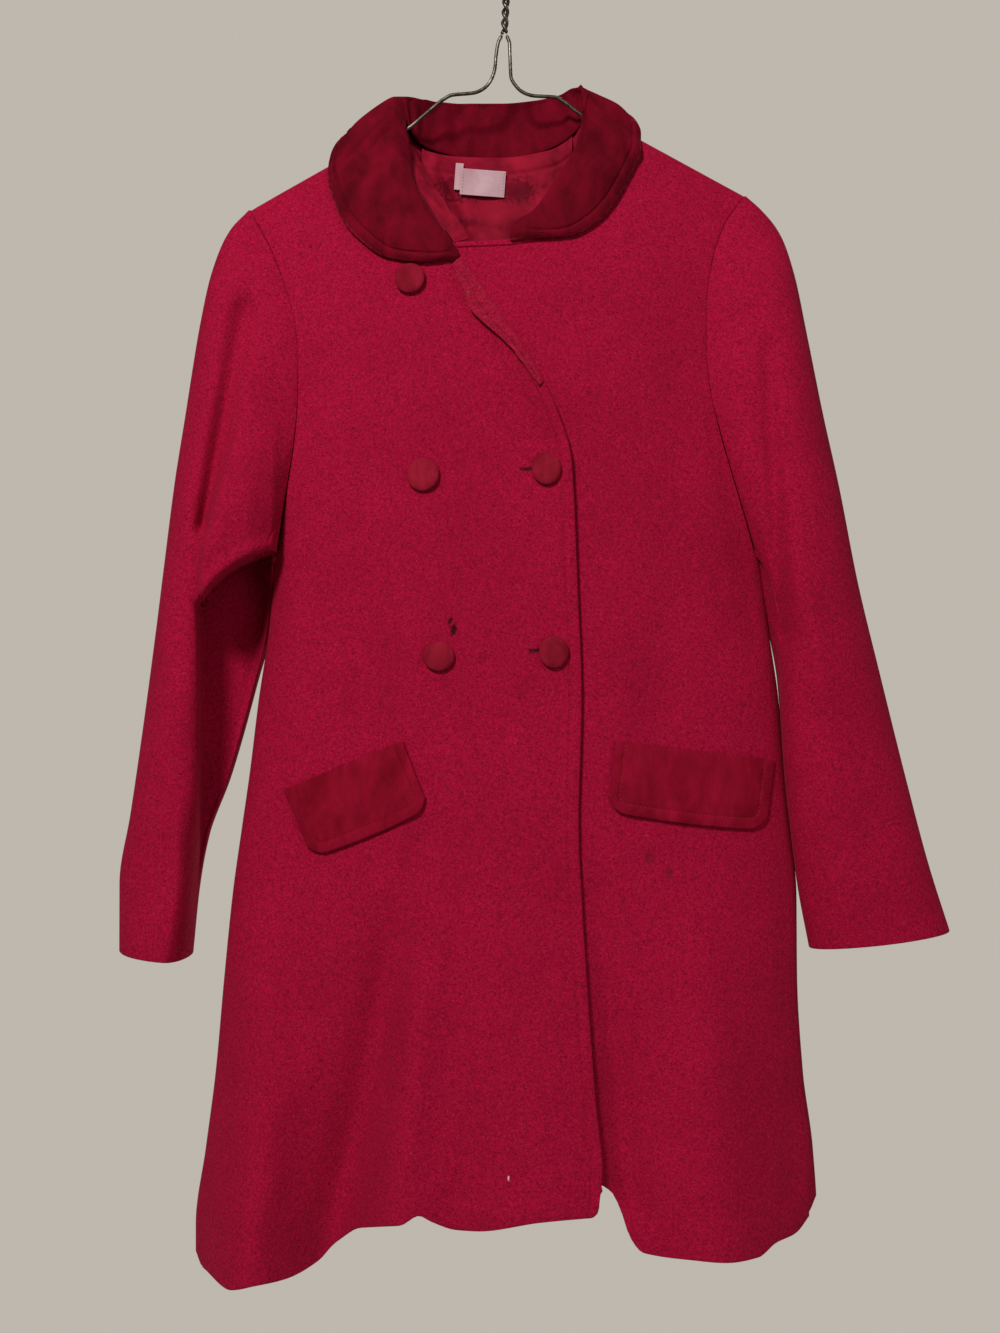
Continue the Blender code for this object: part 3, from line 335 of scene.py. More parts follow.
HOOK = [
    (-17, 33), (-20, 19), (-16, 6), (-6, -0.4), (6, -0.4), (16, 6), (20.2, 19), (17, 33), (9, 47), (3.5, 60),
]
RIGHT_ARM = [
    (-2.1, 102.2), (-4.6, 107), (-6, 115), (-7, 125), (-9.5, 133), (-15, 139.5), (-22, 142.5), (-37, 144),
    (-43, 147), (-53, 155), (-69, 168.2), (-110, 191.7), (-150, 214.4), (-174, 229.0), (-184, 237.5),
    (-187.5, 247), (-186, 257), (-178, 261), (-170, 261),
]
LEFT_ARM = [
    (1.1, 102.2), (3.2, 108), (3.5, 115), (4.2, 131), (8, 138), (13.5, 142.5), (20, 144.5), (35, 145.5),
    (41, 148.5), (50, 155.5), (60, 161.8), (100, 183.7), (140, 205.5), (161, 218.0), (172, 227.0), (178, 239),
    (175, 252), (168, 261), (158, 261),
]
BROWN = (0.07, 0.008, 0.012)
SOOT = (0.012, 0.003, 0.004)
LINT = (0.75, 0.55, 0.55)
RIGHT_MARKS = (
    Mark(-34.6, 519.0, 2.4, 5.6, 0.9, SOOT), Mark(-36.5, 514.0, 2.0, 3.4, 0.8, SOOT),
    Mark(-75.0, 824.6, 1.0, 1.0, 1.0, SOOT), Mark(2.1, 881.3, 0.7, 1.9, 0.9, LINT),
)
# Painted shade on the neck lining: a dark band under the sewn line behind the label, a dark streak left of it and a
# dark patch below it.
NECK_PAINTED_SHADE = (
    Mark(-34.0, 203.0, 20.0, 10.0, 0.62, (0.085, 0.003, 0.010)), Mark(8.0, 203.0, 20.0, 10.0, 0.62, (0.085,
                                                                                                     0.003, 0.010)),
    Mark(-42.0, 222.0, 5.0, 22.0, 0.6, (0.085, 0.003, 0.010)), Mark(-26.0, 226.0, 9.0, 4.5, 0.5, (0.085,
                                                                                                  0.003, 0.010)),
)
LEFT_MARKS = (
    Mark(97.0, 673.0, 4.4, 7.0, 0.34, BROWN), Mark(110.5, 682.5, 4.0, 4.6, 0.46, BROWN),
)


def smooth_curve(keys: Array, values: Array, at: Array) -> Array:
    """Reads a monotone cubic through rising keys: each slope is the harmonic mean of its neighbours' slopes.

    Args:
        keys: rising keys.
        values: the value at each key.
        at: where to read.

    Returns:
        The curve's values, held at the end values past the ends.
    """
    step = np.diff(keys)
    rise = np.diff(values) / step
    slope = np.empty(len(values))
    slope[0] = rise[0]
    slope[-1] = rise[-1]
    product = rise[:-1] * rise[1:]
    safe = np.where(product > 0, rise[:-1] + rise[1:], 1.0)
    slope[1:-1] = np.where(product > 0, 2.0 * product / safe, 0.0)
    at = np.clip(at, keys[0], keys[-1])
    index = np.clip(np.searchsorted(keys, at, side="right") - 1, 0, len(step) - 1)
    t = (at - keys[index]) / step[index]
    start = (1 + 2 * t) * (1 - t) ** 2 * values[index]
    end = t * t * (3 - 2 * t) * values[index + 1]
    lean = t * (1 - t) ** 2 * slope[index] - t * t * (1 - t) * slope[index + 1]
    return start + end + lean * step[index]


def read_column(rows: Sequence, name: str) -> Array:
    """Gives one named column of a table."""
    return np.array([getattr(row, name) for row in rows], float)


def read_table(rows: Sequence, key: str, value: str, at: Array) -> Array:
    """Gives one column of a table as a smooth curve over its key column."""
    return smooth_curve(read_column(rows, key), read_column(rows, value), at)


def ease(value: Array) -> Array:
    """Goes smoothly from 0 to 1 as the value does."""
    value = np.clip(value, 0.0, 1.0)
    return value * value * (3 - 2 * value)


def fold_height(folds: Sequence[Fold], x: Array, down: Array) -> Array:
    """Adds up the folds at each place: each is a bell across its line, whose width and rise change along it.

    Args:
        folds: the folds.
        x: seen X of the places.
        down: seen down of the places.

    Returns:
        The summed rise.
    """
    total = np.zeros(np.broadcast(x, down).shape)
    for fold in folds:
        run_x = fold.low_x - fold.top_x
        run_down = fold.low_down - fold.top_down
        length = math.hypot(run_x, run_down)
        along = ((x - fold.top_x) * run_x + (down - fold.top_down) * run_down) / length**2
        across = ((x - fold.top_x) * run_down - (down - fold.top_down) * run_x) / length
        part = np.clip(along, 0.0, 1.0)
        width = fold.top_width + (fold.low_width - fold.top_width) * part
        rise = fold.top_rise + (fold.low_rise - fold.top_rise) * part
        past_end = (along - part) * length / (1.5 * width)
        total = total + rise * np.exp(-((across / width) ** 2) - past_end**2)
    return total


def ripple(x: Array, down: Array, seed: int, waves: int, length: float, height: float) -> Array:
    """Gives a soft unevenness: a sum of plane waves with seeded directions, lengths and phases.

    Args:
        x: X of the places.
        down: down of the places.
        seed: picks the waves.
        waves: how many waves are added.
        length: the middle wavelength.
        height: the usual height of the sum.

    Returns:
        The height at each place.
    """
    pick = np.random.default_rng(seed)
    angles = pick.uniform(0.0, math.pi, waves)
    lengths = length * pick.uniform(0.6, 1.7, waves)
    phases = pick.uniform(0.0, 2.0 * math.pi, waves)
    total = np.zeros(np.broadcast(x, down).shape)
    for angle, wave, phase in zip(angles, lengths, phases):
        run = x * math.cos(angle) + down * math.sin(angle)
        total = total + np.sin(2.0 * math.pi * run / wave + phase)
    return total * height / math.sqrt(waves)


@dataclass(frozen=True)
class Eye:
    """The place that the coat is seen from, straight in front of the hanger's plane."""

    x: float = -3.5
    down: float = 544.0
    distance: float = 1100.0

    def place(self, x: Array, y: Array, down: Array) -> Array:
        """Moves seen places along their lines of sight to depth y.

        Args:
            x: seen X.
            y: the real depth.
            down: seen down.

        Returns:
            X, Y and Z on the last axis.
        """
        near = 1.0 + y / self.distance
        real_x = self.x + (x - self.x) * near
        real_down = self.down + (down - self.down) * near
        return np.stack([real_x, np.broadcast_to(y, real_x.shape), -real_down], axis=-1)

    def seen(self, points: Array) -> tuple[Array, Array]:
        """Gives the seen X and down of real points."""
        near = 1.0 + points[..., 1] / self.distance
        return self.x + (points[..., 0] - self.x) / near, self.down + (-points[..., 2] - self.down) / near


@dataclass(frozen=True)
class CoatForm:
    """The main form of the coat's body, with the finer creases added."""

    eye: Eye = Eye()
    squareness: float = 2.2
    shoulder_roll: float = 4.8
    shoulder_gap: float = 1.2
    hang_length: float = 75.0
    roll_fade_down: float = 300.0
    roll_fade_length: float = 158.0
    lap: float = 5.0
    nape_x: float = -6.5
    nape_half: float = 66.0
    nape_rise: float = 17.0

    def half_width(self, x: Array, down: Array) -> Array:
        """Gives the body's half width on the side where x lies."""
        right = read_table(GIRTHS, "down", "right_half", down)
        return np.where(x < CENTRE_X, right, read_table(GIRTHS, "down", "left_half", down))

    def shoulder_down(self, x: Array) -> Array:
        """Gives the height of the shoulder seams, and of a line between them across the neck."""
        return np.interp(x, read_column(SHOULDERS, "x"), read_column(SHOULDERS, "down"))

    def cap(self, x: Array, down: Array) -> Array:
        """Gives the depth's share across the body, a rounded box from 1 at the middle to 0 at the side."""
        share = np.clip(np.abs(x - CENTRE_X) / self.half_width(x, down), 0.0, 1.0)
        return (1.0 - share**self.squareness) ** (1.0 / self.squareness)

    def over_wire(self, height: Array, down: Array) -> Array:
        """Gives how far the cloth stands off as it rolls over the wire: a quarter ellipse that fades by the
        underarm.
        """
        part = np.clip(height / self.shoulder_roll, 0.0, 1.0)
        roll = self.shoulder_gap + (self.shoulder_roll - self.shoulder_gap) * np.sqrt(1.0 - (1.0 - part) ** 2)
        return roll * (1.0 - ease((down - self.roll_fade_down) / self.roll_fade_length))

    def hang(self, height: Array) -> Array:
        """Gives the share of the full depth reached below the shoulder: one less a falling exponential."""
        return 1.0 - np.exp(-np.clip(height, 0.0, None) / self.hang_length)

    def front(self, x: Array, down: Array) -> Array:
        """Gives the depth of the front's outer face, folds and creases included.

        Args:
            x: seen X.
            down: seen down.

        Returns:
            Y of the outer face.
        """
        height = down - self.shoulder_down(x)
        cap = self.cap(x, down)
        full = read_table(GIRTHS, "down", "front", down)
        calm = 0.25 + 0.75 * ease(cap / 0.5)
        low = ease((height - 10.0) / 60.0)
        folds = fold_height(FRONT_FOLDS, x, down) + fold_height(FRONT_CREASES, x, down) * low
        uneven = ripple(x, down, 11, 9, 95.0, 0.8) * low + ripple(x, down, 12, 9, 34.0, 0.16) * low
        return -(self.over_wire(height, down) + self.hang(height) * cap * full + (folds + uneven) * calm)

    def back(self, x: Array, down: Array, fine: bool = True) -> Array:
        """Gives the depth of the back's outer face, with the nape's swell, folds and creases.

        Args:
            x: seen X.
            down: seen down.
            fine: whether the finer creases are added.

        Returns:
            Y of the outer face.
        """
        height = down - self.shoulder_down(x)
        cap = self.cap(x, down)
        full = read_table(GIRTHS, "down", "back", down)
        neck = np.clip(1.0 - ((x - self.nape_x) / self.nape_half) ** 2, 0.0, None)
        nape = self.nape_rise * neck * np.exp(-(((height - 25.0) / 90.0) ** 2)) * ease(height / 20.0)
        calm = ease(cap / 0.5)
        folds = fold_height(BACK_FOLDS, x, down)
        if fine:
            low = ease((height - 60.0) / 60.0)
            folds = folds + (fold_height(BACK_CREASES, x, down) + ripple(x, down, 21, 9, 90.0, 0.9)) * low
        return self.over_wire(height, down) + self.hang(height) * cap * full + nape + folds * calm

    def lap_lift(self, x: Array, down: Array) -> Array:
        """Gives how far the overlap lies in front of the body's own surface, over the underlap."""
        return self.lap * ease((x + 92.0) / 30.0) * ease((down - 222.0) / 22.0)

    def right_front(self, x: Array, down: Array) -> Array:
        """Gives the depth of the overlapping front's outer face."""
        return self.front(x, down) - self.lap_lift(x, down)

    def edge_roll(self, distance: Array, down: Array) -> Array:
        """Gives how far the overlap's free edge curls forward below the collar, a bell along and across the
        edge.
        """
        return 4.0 * np.exp(-((distance / 15.0) ** 2) - ((down - 325.0) / 75.0) ** 2)

    def left_front(self, x: Array, down: Array) -> Array:
        """Gives the depth of the underlapping front's outer face."""
        return self.front(x, down) - fold_height(LAP_FOLDS, x, down)

    def seam_x(self, down: Array, side: Side) -> Array:
        """Gives X of a front panel's side edge: the armhole, then the side seam."""
        rows = RIGHT_ARMHOLE if side is Side.RIGHT else LEFT_ARMHOLE
        word = side.name.lower()
        half = read_table(GIRTHS, "down", word + "_half", down)
        turn = np.radians(read_table(GIRTHS, "down", word + "_turn", down))
        below = CENTRE_X + side.value * half * np.sin(turn)
        return np.where(down < UNDERARM, read_table(rows, "down", "x", down), below)

    def round_back(self, turn: Array, down: Array) -> tuple[Array, Array]:
        """Gives seen X and depth of the back where it has turned so far from its middle, round to the
        front.
        """
        half = np.where(turn < 0, read_table(GIRTHS, "down", "right_half", down),
                        read_table(GIRTHS, "down", "left_half", down))
        x = CENTRE_X + half * np.sin(turn)
        behind = np.abs(turn) <= 0.5 * math.pi
        return x, np.where(behind, self.back(x, down), self.front(x - np.sign(turn) * 1e-6, down))

    def armhole(self, angle: Array, side: Side) -> Array:
        """Gives the armhole's edge at each angle, 0 at the shoulder tip and a half turn at the underarm.

        Args:
            angle: the angles, in front for a positive sine.
            side: whose armhole.

        Returns:
            Real points.
        """
        tip = SHOULDERS[0].down if side is Side.RIGHT else SHOULDERS[-1].down
        down = tip + (UNDERARM - tip) * (1.0 - np.cos(angle)) / 2.0
        turn = side.value * np.radians(read_table(GIRTHS, "down", side.name.lower() + "_turn", down))
        back_x, back_y = self.round_back(turn, down)
        front_x = self.seam_x(np.minimum(down, UNDERARM - 0.01), side)
        ahead = np.sin(angle) >= 0
        return self.eye.place(np.where(ahead, front_x, back_x), np.where(ahead, self.front(front_x, down),
                                                                         back_y), down)

    def stand(self, x: Array, down: Array, turn: Array, clear: Array, side: Array) -> Array:
        """Gives a depth that stands clear of the front (turn -1), the back (1) or, in between, the
        shoulder.
        """
        mix = (turn + 1.0) / 2.0
        front = self.front(x, down) - np.where(side < 0, self.lap_lift(x, down), 0.0)
        return front * (1.0 - mix) + self.back(x, down, False) * mix + turn * clear


def grid_normals(grid: Array, outward: Sequence[float]) -> Array:
    """Gives unit normals of a grid: the cross product of its two directions of change, turned to face
    outward.
    """
    normal = np.cross(np.gradient(grid, axis=0), np.gradient(grid, axis=1))
    normal /= np.maximum(np.linalg.norm(normal, axis=-1, keepdims=True), 1e-9)
    return normal if np.dot(normal.reshape(-1, 3).sum(axis=0), outward) > 0 else -normal


def grid_faces(index: Array) -> Array:
    """Gives the quads between neighbours of a grid of vertex numbers."""
    return np.stack([index[:-1, :-1], index[1:, :-1], index[1:, 1:], index[:-1, 1:]], axis=-1).reshape(-1, 4)


class CoatMesh:
    """Puts arrays of points and quads into the scene as pieces of the coat."""

    @staticmethod
    def put(name: str, points: Array, faces: Array, looks: Sequence, cut: Optional[Array] = None,
            pick: Optional[Array] = None) -> bpy.types.Object:
        """Makes an object from quads.

        Args:
            name: the piece's name.
            points: vertex places in millimetres.
            faces: four vertex numbers a face.
            looks: the materials.
            cut: the flat place of each vertex, for the UV map.
            pick: the material number of each face.

        Returns:
            The object, riding on the coat's body.
        """
        mesh = bpy.data.meshes.new(name)
        mesh.vertices.add(len(points))
        mesh.vertices.foreach_set("co", (points * MM).astype(np.float32).ravel())
        mesh.loops.add(faces.size)
        mesh.loops.foreach_set("vertex_index", faces.astype(np.int32).ravel())
        mesh.polygons.add(len(faces))
        mesh.polygons.foreach_set("loop_start", np.arange(0, faces.size, 4, dtype=np.int32))
        mesh.polygons.foreach_set("use_smooth", np.ones(len(faces), bool))
        for look in looks:
            mesh.materials.append(look)
        if pick is not None:
            mesh.polygons.foreach_set("material_index", pick.astype(np.int32))
        if cut is not None:
            layer = mesh.uv_layers.new(name="cut")
            layer.data.foreach_set("uv", (cut[faces.ravel()] * MM).astype(np.float32).ravel())
        mesh.update(calc_edges=True)
        mesh.validate()
        thing = bpy.data.objects.new(name, mesh)
        bpy.context.scene.collection.objects.link(thing)
        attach(thing, BODY)
        log.info("%s: %d faces", name, len(faces))
        return thing


@dataclass(frozen=True)
class ClothWall:
    """A wall of cloth with rounded edges, grown inward from its outer face."""

    thickness: float
    rim_steps: int = 3

    def tilts(self, count: int) -> tuple[Array, Array]:
        """Gives, along one direction of the grid with its rims, the grid line read and the tilt over the
        rim.
        """
        k = self.rim_steps
        number = np.arange(-k, count + k)
        over = np.where(number < 0, number, np.maximum(number - (count - 1), 0))
        return np.clip(number, 0, count - 1), over * (0.5 * math.pi / k)

    def build(self, name: str, outer: Array, outward: Sequence[float], looks: Sequence, cut: Array,
              wool_lines: int = 0) -> bpy.types.Object:
        """Makes a closed wall. Over each edge the offset turns a quarter circle from the face to the middle
        sheet.

        Args:
            name: the piece's name.
            outer: grid of the outer face's points.
            outward: the way that the outer face looks.
            looks: the material of the face, and of the inside if it differs.
            cut: the grid's flat places.
            wool_lines: how many of the last lines inside keep the face's material, as a turned-up hem.

        Returns:
            The object.
        """
        half = self.thickness / 2.0
        normal = grid_normals(outer, outward)
        middle = outer - normal * half
        way = [np.gradient(middle, axis=axis) for axis in (0, 1)]
        way = [w / np.maximum(np.linalg.norm(w, axis=-1, keepdims=True), 1e-9) for w in way]
        row, tilt_u = self.tilts(outer.shape[0])
        line, tilt_v = self.tilts(outer.shape[1])
        pick = np.ix_(row, line)
        tilt_u = tilt_u[:, None, None]
        tilt_v = tilt_v[None, :, None]
        flat = np.sin(tilt_u) * way[0][pick] + np.sin(tilt_v) * way[1][pick]
        rise = np.cos(tilt_u) * np.cos(tilt_v) * normal[pick]
        length = np.maximum(np.linalg.norm(flat + rise, axis=-1, keepdims=True), 1e-9)
        face = middle[pick] + half * (flat + rise) / length
        inside = middle[pick] + half * (flat - rise) / length
        across, along = face.shape[:2]
        outer_index = np.arange(across * along).reshape(across, along)
        inner_index = outer_index.copy()
        inner_index[1:-1, 1:-1] = across * along + np.arange((across - 2) * (along - 2)).reshape(across - 2,
                                                                                                 along - 2)
        points = np.concatenate([face.reshape(-1, 3), inside[1:-1, 1:-1].reshape(-1, 3)])
        places = np.concatenate([cut[pick].reshape(-1, 2), cut[pick][1:-1, 1:-1].reshape(-1, 2)])
        first = np.cross(np.gradient(outer, axis=0), np.gradient(outer, axis=1))
        aligned = (first * normal).sum() > 0
        front_faces = grid_faces(outer_index)
        back_faces = grid_faces(inner_index)
        faces = np.concatenate([front_faces if aligned else front_faces[:, ::-1],
                                back_faces[:, ::-1] if aligned else back_faces])
        lined = np.zeros((across - 1, along - 1), int)
        k = self.rim_steps
        if len(looks) > 1:
            lined[k:across - 1 - k, k:along - 1 - k - wool_lines] = 1
        number = np.concatenate([np.zeros(len(front_faces), int), lined.ravel()])
        return CoatMesh.put(name, points, faces, looks, places, number)


class NodeBoard:
    """Builds one material's nodes."""

    def __init__(self, name: str) -> None:
        """Starts a material with one Principled shader."""
        self.material = bpy.data.materials.new(name)
        self.material.use_nodes = True
        self.nodes = self.material.node_tree.nodes
        self.links = self.material.node_tree.links
        self.shader = self.nodes["Principled BSDF"]
        self.place = self.nodes.new("ShaderNodeTexCoord").outputs["Object"]

    def set(self, **values: float) -> None:
        """Sets the shader's own sockets, with spaces in their names written as underscores."""
        for name, value in values.items():
            self.shader.inputs[name.replace("_", " ")].default_value = value

    def feed(self, socket, value) -> None:
        """Links or sets one input."""
        if isinstance(value, bpy.types.NodeSocket):
            self.links.new(value, socket)
        else:
            socket.default_value = value

    def mapped(self, location: Sequence[float], scale: Sequence[float], turn: Sequence[float] = (0, 0, 0)):
        """Gives Object coordinates after a Mapping node."""
        node = self.nodes.new("ShaderNodeMapping")
        node.inputs["Location"].default_value = location
        node.inputs["Rotation"].default_value = turn
        node.inputs["Scale"].default_value = scale
        self.links.new(self.place, node.inputs["Vector"])
        return node.outputs["Vector"]

    def cut_place(self, axis: str):
        """Gives one axis of the place on the flat cut, in metres."""
        place = self.nodes.new("ShaderNodeUVMap")
        place.uv_map = "cut"
        split = self.nodes.new("ShaderNodeSeparateXYZ")
        self.links.new(place.outputs["UV"], split.inputs["Vector"])
        return split.outputs[axis]

    def noise(self, scale: float, detail: float = 2.0, rough: float = 0.5, twist: float = 0.0, vector=None):
        """Gives a noise's value."""
        node = self.nodes.new("ShaderNodeTexNoise")
        node.inputs["Scale"].default_value = scale
        node.inputs["Detail"].default_value = detail
        node.inputs["Roughness"].default_value = rough
        node.inputs["Distortion"].default_value = twist
        self.links.new(self.place if vector is None else vector, node.inputs["Vector"])
        return node.outputs["Fac"]

    def wave(self, scale: float, vector, twist: float = 0.0):
        """Gives bands along the X of a vector."""
        node = self.nodes.new("ShaderNodeTexWave")
        node.inputs["Scale"].default_value = scale
        node.inputs["Distortion"].default_value = twist
        self.links.new(vector, node.inputs["Vector"])
        return node.outputs["Fac"]

    def span(self, value, low: float, high: float, to_low: float = 0.0, to_high: float = 1.0):
        """Maps a range of values to another, clamped."""
        node = self.nodes.new("ShaderNodeMapRange")
        self.feed(node.inputs["Value"], value)
        for name, number in zip(("From Min", "From Max", "To Min", "To Max"), (low, high, to_low, to_high)):
            node.inputs[name].default_value = number
        return node.outputs["Result"]

    def math(self, work: str, first, second=0.0):
        """Gives the result of one Math node."""
        node = self.nodes.new("ShaderNodeMath")
        node.operation = work
        self.feed(node.inputs[0], first)
        self.feed(node.inputs[1], second)
        return node.outputs["Value"]

    def mix(self, share, first, second):
        """Mixes two colours."""
        node = self.nodes.new("ShaderNodeMix")
        node.data_type = "RGBA"
        self.feed(node.inputs[0], share)
        for socket, value in ((node.inputs[6], first), (node.inputs[7], second)):
            self.feed(socket, (*value, 1.0) if isinstance(value, tuple) else value)
        return node.outputs[2]

    def bump(self, height, strength: float, distance: float, under=None):
        """Gives a normal bumped by a height."""
        node = self.nodes.new("ShaderNodeBump")
        node.inputs["Strength"].default_value = strength
        node.inputs["Distance"].default_value = distance
        self.links.new(height, node.inputs["Height"])
        if under is not None:
            self.links.new(under, node.inputs["Normal"])
        return node.outputs["Normal"]

    def finish(self, colour, normal=None, rough=None) -> bpy.types.Material:
        """Joins colour, normal and roughness to the shader."""
        self.feed(self.shader.inputs["Base Color"], colour)
        if normal is not None:
            self.links.new(normal, self.shader.inputs["Normal"])
        if rough is not None:
            self.feed(self.shader.inputs["Roughness"], rough)
        return self.material


@dataclass(frozen=True)
class WoolFinish:
    """Milled wool coating: a felted nap of mixed red fibres, a few pale ones, and its stains."""

    name: str = "wool"
    dark: tuple = (0.185, 0.0012, 0.015)
    light: tuple = (0.56, 0.007, 0.058)
    fleck: tuple = (0.60, 0.09, 0.13)
    marks: tuple = ()
    # Where painted edge shade starts across the cut, in metres (0 for none), and its colour.
    shade_from: float = 0.0
    edge_shade: tuple = (0.16, 0.032, 0.034)

    def material(self) -> bpy.types.Material:
        """Makes the material: heather from fine noise, slow shade patches, pale flecks, nap bump and marks.
        """
        board = NodeBoard(self.name)
        fine = board.noise(1350.0, 3.0, 0.6, 0.3)
        coarse = board.noise(560.0, 2.0, 0.5, 0.6)
        patch = board.noise(16.0, 2.0, 0.5)
        heather = board.math("ADD", board.math("MULTIPLY", fine, 0.62), board.math("MULTIPLY", coarse, 0.38))
        colour = board.mix(board.span(heather, 0.36, 0.65), self.dark, self.light)
        colour = board.mix(board.span(patch, 0.35, 0.75, 0.0, 0.22), colour, self.dark)
        flecks = board.span(board.noise(1150.0, 1.0, 0.5, 1.2), 0.70, 0.80)
        colour = board.mix(board.math("MULTIPLY", flecks, 0.55), colour, self.fleck)
        for mark in self.marks:
            colour = self.stain_and_shade(board, colour, mark)
        # Painted shade: a darker, greyer band along the far side of the cut, broken up by noise, where the facing's
        # edge rolls over.
        if self.shade_from > 0.0:
            edge = board.span(board.cut_place("X"), self.shade_from, self.shade_from + 0.002, 0.0, 0.75)
            shade_gaps = board.span(board.noise(420.0, 3.0, 0.6), 0.50, 0.60)
            colour = board.mix(board.math("MULTIPLY", edge, shade_gaps), colour, self.edge_shade)
        nap = board.bump(fine, 0.5, 0.0005)
        nap = board.bump(coarse, 0.35, 0.0008, nap)
        board.set(Roughness=0.92, Sheen_Weight=0.10, Sheen_Roughness=0.45, Sheen_Tint=(1.0, 0.12, 0.22, 1.0),
                  Specular_IOR_Level=0.08)
        return board.finish(colour, nap)

    def stain_and_shade(self, board: NodeBoard, colour, mark: Mark):
        """Mixes one mark in, a stain on the wool and a patch of painted shade on the neck satin: a soft ellipse in X
        and Z, broken up by noise.
        """
        place = board.mapped((-mark.x * MM / (mark.half_x * MM), 0.0, mark.down * MM / (mark.half_down * MM)),
                             (1000.0 / mark.half_x, 0.0, 1000.0 / mark.half_down))
        node = board.nodes.new("ShaderNodeVectorMath")
        node.operation = "LENGTH"
        board.links.new(place, node.inputs[0])
        ragged = board.math("ADD", node.outputs["Value"], board.span(board.noise(420.0, 2.0), 0.3, 0.7,
                                                                     -0.45, 0.45))
        share = board.span(ragged, 1.0, 0.45, 0.0, mark.strength)
        return board.mix(share, colour, mark.colour)


@dataclass(frozen=True)
class VelvetFinish:
    """Short cotton velvet: dark where it is looked into, paler where its pile is brushed or seen along."""

    name: str = "velvet"
    deep: tuple = (0.095, 0.0005, 0.006)
    brushed: tuple = (0.22, 0.0018, 0.016)
    cord: float = 0.0
    rim: float = 0.0
    rubbed: tuple = (0.34, 0.030, 0.045)

    def material(self) -> bpy.types.Material:
        """Makes the material: brushed patches of slow noise, pile grain, and faint cords where the cloth
        has them.
        """
        board = NodeBoard(self.name)
        brush = board.noise(44.0, 4.0, 0.60, 0.25, board.mapped((0, 0, 0), (1.5, 1.5, 0.8)))
        grain = board.noise(1500.0, 2.0, 0.6, 0.3)
        mixed = board.math("ADD", board.math("MULTIPLY", brush, 0.72), board.math("MULTIPLY", grain, 0.28))
        colour = board.mix(board.span(mixed, 0.38, 0.68), self.deep, self.brushed)
        height = grain
        if self.rim > 0.0:
            across = board.cut_place("Y")
            edge = board.span(across, self.rim - 0.003, self.rim)
            patchy = board.span(board.noise(260.0, 3.0), 0.36, 0.66)
            colour = board.mix(board.math("MULTIPLY", edge, patchy), colour, self.rubbed)
        if self.cord > 0.0:
            cords = board.wave(1.0 / self.cord * 0.5, board.place, 1.5)
            colour = board.mix(board.math("MULTIPLY", cords, 0.16), colour, self.deep)
            height = board.math("ADD", grain, board.math("MULTIPLY", cords, 0.4))
        board.set(Roughness=0.88, Sheen_Weight=0.16, Sheen_Roughness=0.3, Sheen_Tint=(1.0, 0.08, 0.18, 1.0),
                  Specular_IOR_Level=0.08)
        return board.finish(colour, board.bump(height, 0.5, 0.0005))


@dataclass(frozen=True)
class SatinFinish:
    """Acetate lining: smooth, with a soft gloss and a fine thread grain."""

    name: str = "satin"
    deep: tuple = (0.19, 0.005, 0.018)
    bright: tuple = (0.42, 0.012, 0.040)
    rough: float = 0.58
    marks: tuple = ()

    def material(self) -> bpy.types.Material:
        """Makes the material: slow shade changes, crossing thread lines and small wrinkles in the bump."""
        board = NodeBoard(self.name)
        slow = board.noise(48.0, 3.0, 0.55, 0.6)
        warp = board.wave(900.0, board.place, 0.6)
        weft = board.wave(900.0, board.mapped((0, 0, 0), (1, 1, 1), (0, 0.5 * math.pi, 0)), 0.6)
        thread = board.math("ADD", board.math("MULTIPLY", warp, 0.5), board.math("MULTIPLY", weft, 0.5))
        colour = board.mix(board.span(slow, 0.32, 0.70), self.deep, self.bright)
        colour = board.mix(board.math("MULTIPLY", thread, 0.12), colour, self.deep)
        # Each mark darkens the colour; on the neck satin the marks are painted shade around the label.
        for mark in self.marks:
            colour = WoolFinish().stain_and_shade(board, colour, mark)
        wrinkle = board.bump(board.noise(110.0, 2.0, 0.5, 0.6), 0.3, 0.0008)
        board.set(Specular_IOR_Level=0.09, Specular_Tint=(1.0, 0.25, 0.32, 1.0))
        rough = board.span(slow, 0.3, 0.7, self.rough - 0.06, self.rough + 0.08)
        return board.finish(colour, board.bump(thread, 0.2, 0.00002, wrinkle), rough)


@dataclass(frozen=True)
class TapeFinish:
    """Woven label tape: off-white with a rose tint, its threads crossing, slightly soiled."""

    name: str = "label tape"
    white: tuple = (0.64, 0.41, 0.45)
    rose: tuple = (0.56, 0.26, 0.31)

    def material(self) -> bpy.types.Material:
        """Makes the material: two crossing waves as the weave and slow rose patches."""
        board = NodeBoard(self.name)
        warp = board.wave(780.0, board.place)
        weft = board.wave(780.0, board.mapped((0, 0, 0), (1, 1, 1), (0, 0.5 * math.pi, 0)))
        weave = board.math("MULTIPLY", warp, weft)
        soil = board.noise(160.0, 4.0, 0.6, 0.8)
        colour = board.mix(board.span(soil, 0.40, 0.75, 0.0, 0.55), self.white, self.rose)
        colour = board.mix(board.math("MULTIPLY", weave, 0.14), colour, self.rose)
        board.set(Roughness=0.6, Sheen_Weight=0.1, Specular_IOR_Level=0.35)
        return board.finish(colour, board.bump(weave, 0.4, 0.00004))


